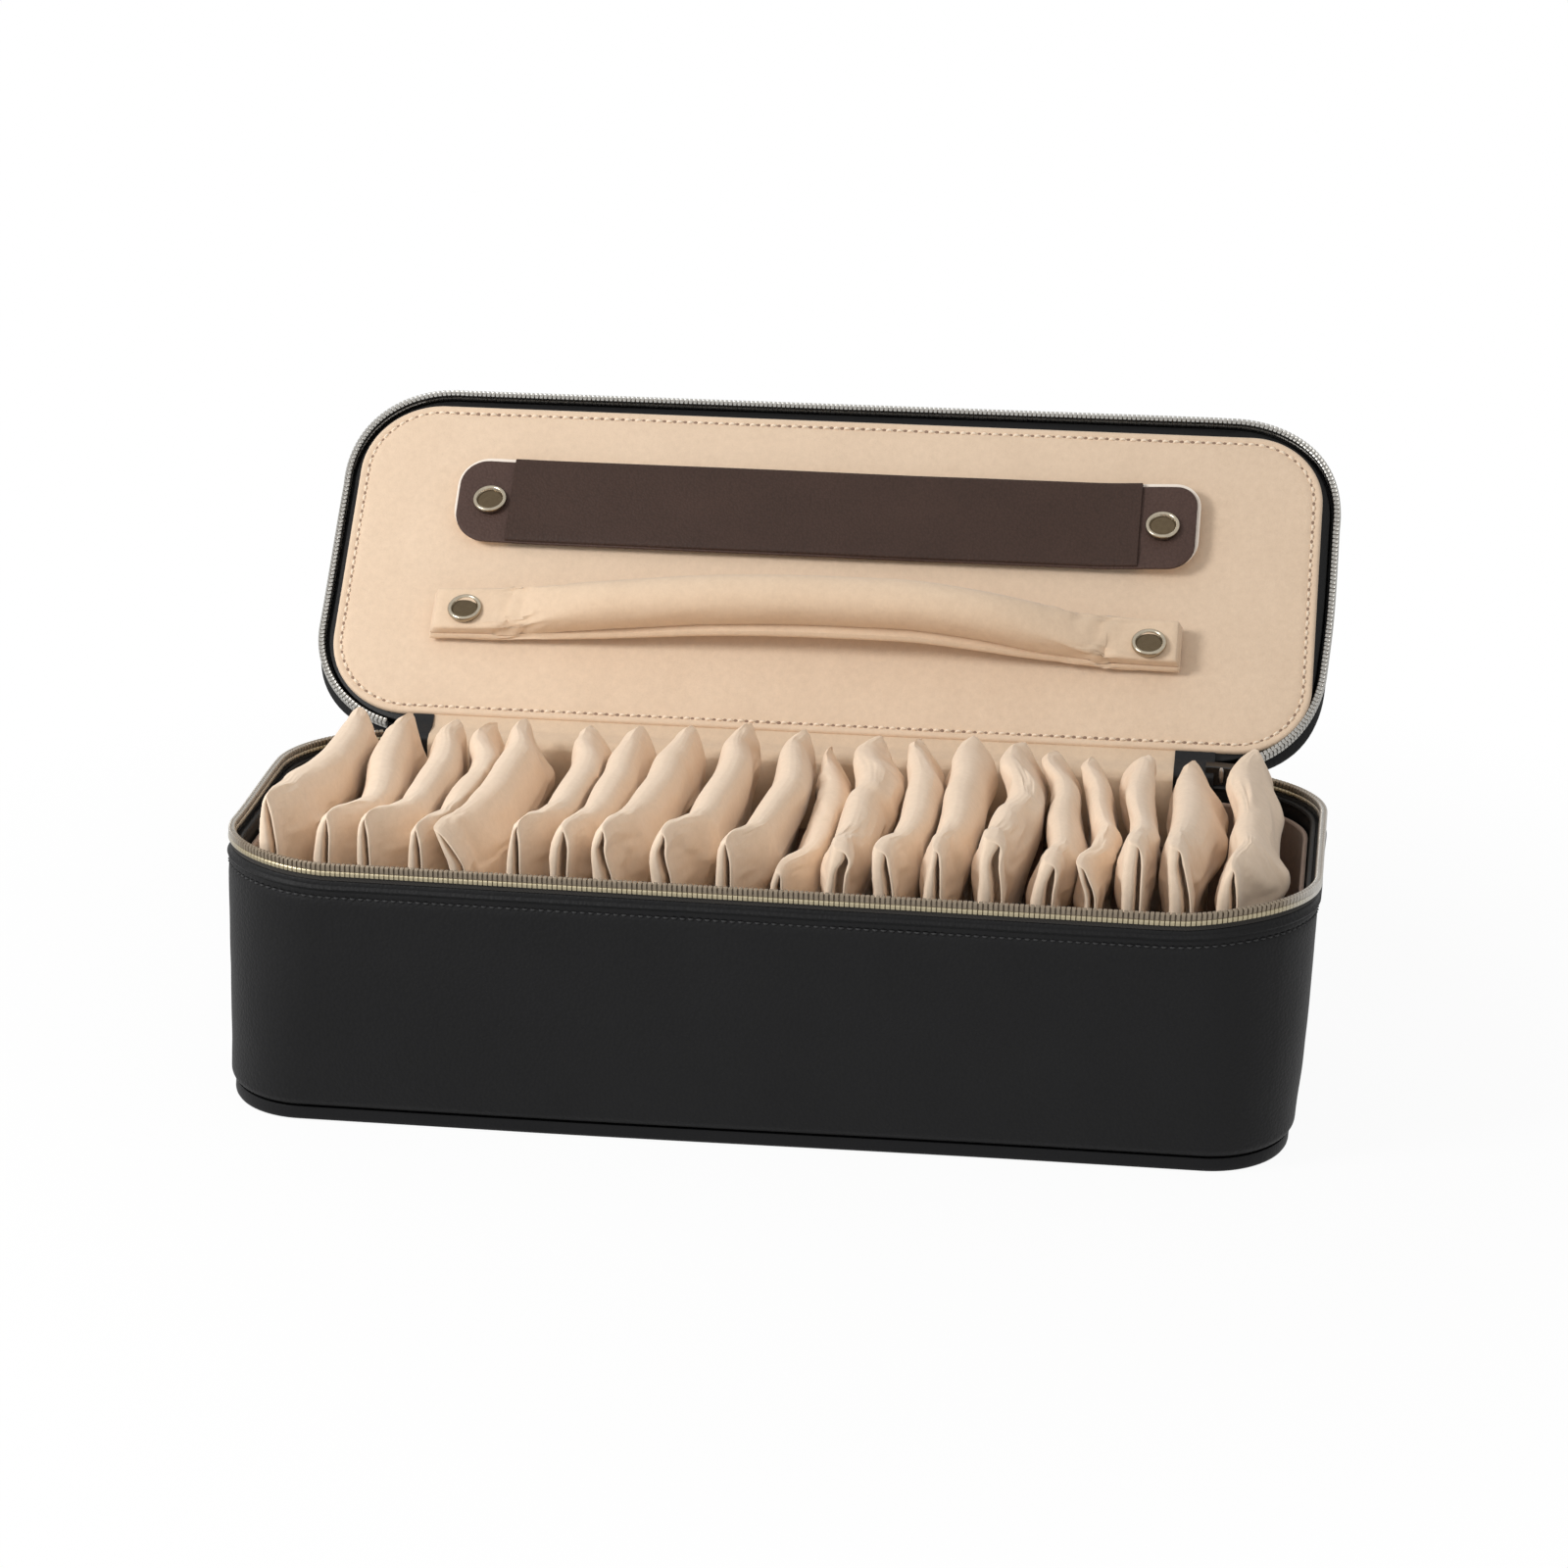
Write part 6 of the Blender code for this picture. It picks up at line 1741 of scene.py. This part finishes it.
def make_slider_bar():
    """The bright bridge on the slider's body, waisted at both ends."""
    low, top = SLIDER_BAR
    rings = []
    for step in range(9):
        share = step / 8
        bulge = math.sqrt(math.sin(math.pi * share)) if 0 < share < 1 else 0.0
        half = SLIDER_BAR_HALF * (SLIDER_BAR_NECK + (1 - SLIDER_BAR_NECK) * bulge)
        middle = low.lerp(top, share)
        angles = [math.tau * corner / 10 for corner in range(10)]
        rings.append(np.array([
            middle + Vector((half * math.cos(angle), half * SLIDER_BAR_FLAT * math.sin(angle), 0.0))
            for angle in angles
        ]))
    piece("slider_bridge", skin(rings), NICKEL, "slider", "nickel")


def finish_hardware():
    """The metal pieces whose solids are already right get their plating."""
    finishes = {name: GUNMETAL for name in ("zip_stop_left", "zip_stop_right", "zip_slider")}
    for name in ("zip_pull", "strap_stud_left", "strap_stud_right", "roll_stud_left", "roll_stud_right"):
        finishes[name] = NICKEL
    for name, finish in finishes.items():
        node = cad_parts[name]
        if not node.material_slots:
            node.data.materials.append(finish)
        node.material_slots[0].material = finish
        round_off = node.modifiers.new("soft edges", "BEVEL")
        round_off.width = HARDWARE_ROUND
        round_off.segments = 2
        round_off.limit_method = "ANGLE"
    make_slider_bar()


def seen_rays(tree):
    """1 for rays that show the background: from the camera, a mirror or glass."""
    path = tree.nodes.new("ShaderNodeLightPath")
    camera, glossy, through = [
        Tone(tree, path.outputs[f"Is {kind} Ray"]) for kind in ("Camera", "Glossy", "Transmission")
    ]
    return (camera + glossy + through).held()


def split_by_rays(tree, output, share, first, second):
    """Shows the second shader to the rays of this share, and the first to the rest."""
    mixed = share.node("ShaderNodeMixShader", {}, {0: share})
    tree.links.new(first.outputs[0], mixed.socket.node.inputs[1])
    tree.links.new(second.outputs[0], mixed.socket.node.inputs[2])
    tree.links.new(mixed.socket, tree.nodes[output].inputs["Surface"])


# Name, place, size and power of each lamp, and what they all point at
LAMPS = (
    ("key", (-0.62, -0.42, 0.62), 0.32, 5.0),
    ("front", (0.05, -1.25, 1.05), 1.20, 0.6),
)
LAMPS_AIM = (0.0, 0.0, 0.06)
WORLD_COLOUR = (0.975, 0.965, 0.955, 1.0)
WORLD_STRENGTH = 0.60
WHITE = (1.0, 1.0, 1.0, 1.0)
# The floor shades to white from this far out: distance, steepness, and the share it shades by
FLOOR_HALF = 3.0
FLOOR_FADE_FROM = 0.22
FLOOR_FADE_GAIN = 6.0
FLOOR_SHADE = 0.06


def make_camera():
    camera = added("camera", bpy.data.cameras.new("camera"))
    camera.location = CAMERA_PLACE
    camera.rotation_euler = CAMERA_FORWARD.to_track_quat("-Z", "Y").to_euler()
    camera.data.lens = CAMERA_LENS
    camera.data.sensor_width = CAMERA_SENSOR
    bpy.context.scene.camera = camera
    bpy.context.scene.view_settings.view_transform = "Standard"


def make_lamps():
    for name, place, size, power in LAMPS:
        lamp = bpy.data.lights.new(name, "AREA")
        lamp.energy = power
        lamp.shape = "DISK"
        lamp.size = size
        holder = added(name, lamp)
        holder.location = place
        aim = Vector(LAMPS_AIM) - Vector(place)
        holder.rotation_euler = aim.to_track_quat("-Z", "Y").to_euler()


def make_world():
    """Soft even light, in front of plain white."""
    world = bpy.data.worlds.new("surroundings")
    bpy.context.scene.world = world
    world.use_nodes = True
    tree = world.node_tree
    plain = tree.nodes["Background"]
    white = tree.nodes.new("ShaderNodeBackground")
    for node, colour, strength in ((plain, WORLD_COLOUR, WORLD_STRENGTH), (white, WHITE, 1.0)):
        node.inputs["Color"].default_value = colour
        node.inputs["Strength"].default_value = strength
    split_by_rays(tree, "World Output", seen_rays(tree), plain, white)


def make_floor():
    """A pale floor that keeps a faint shade near the case and is plain white further out."""
    half = FLOOR_HALF
    points = [(-half, -half, 0.0), (half, -half, 0.0), (half, half, 0.0), (-half, half, 0.0)]
    mesh = bpy.data.meshes.new("floor")
    mesh.from_pydata(points, [], [(0, 1, 2, 3)])
    floor = added("floor", mesh)
    made, surface, place = new_finish("pale_floor")
    dress(made, surface, {
        "Base Color": place.clouds(0.4, 1.0).mixed((0.82, 0.82, 0.82), (0.84, 0.84, 0.84)),
        "Roughness": 0.9,
        "Specular IOR Level": 0.1,
    })
    tree = made.node_tree
    glow = place.node("ShaderNodeEmission", {}, {"Color": WHITE, "Strength": 1.0})
    far = place.node("ShaderNodeVectorMath", {"operation": "LENGTH"}, {0: place}, 1)
    fade = ((far - FLOOR_FADE_FROM) * FLOOR_FADE_GAIN).held() * FLOOR_SHADE + (1 - FLOOR_SHADE)
    split_by_rays(tree, "Material Output", seen_rays(tree) * fade, surface, glow.socket.node)
    mesh.materials.append(made)


make_camera()
make_lamps()
make_world()
make_floor()
make_base()
make_shell()
make_lining()
make_zip("lower", 1, "case", False)
make_zip("upper", -1, "lid", True)
make_lid()
make_panel()
make_fold()
make_strap()
make_soft_pieces()
finish_hardware()
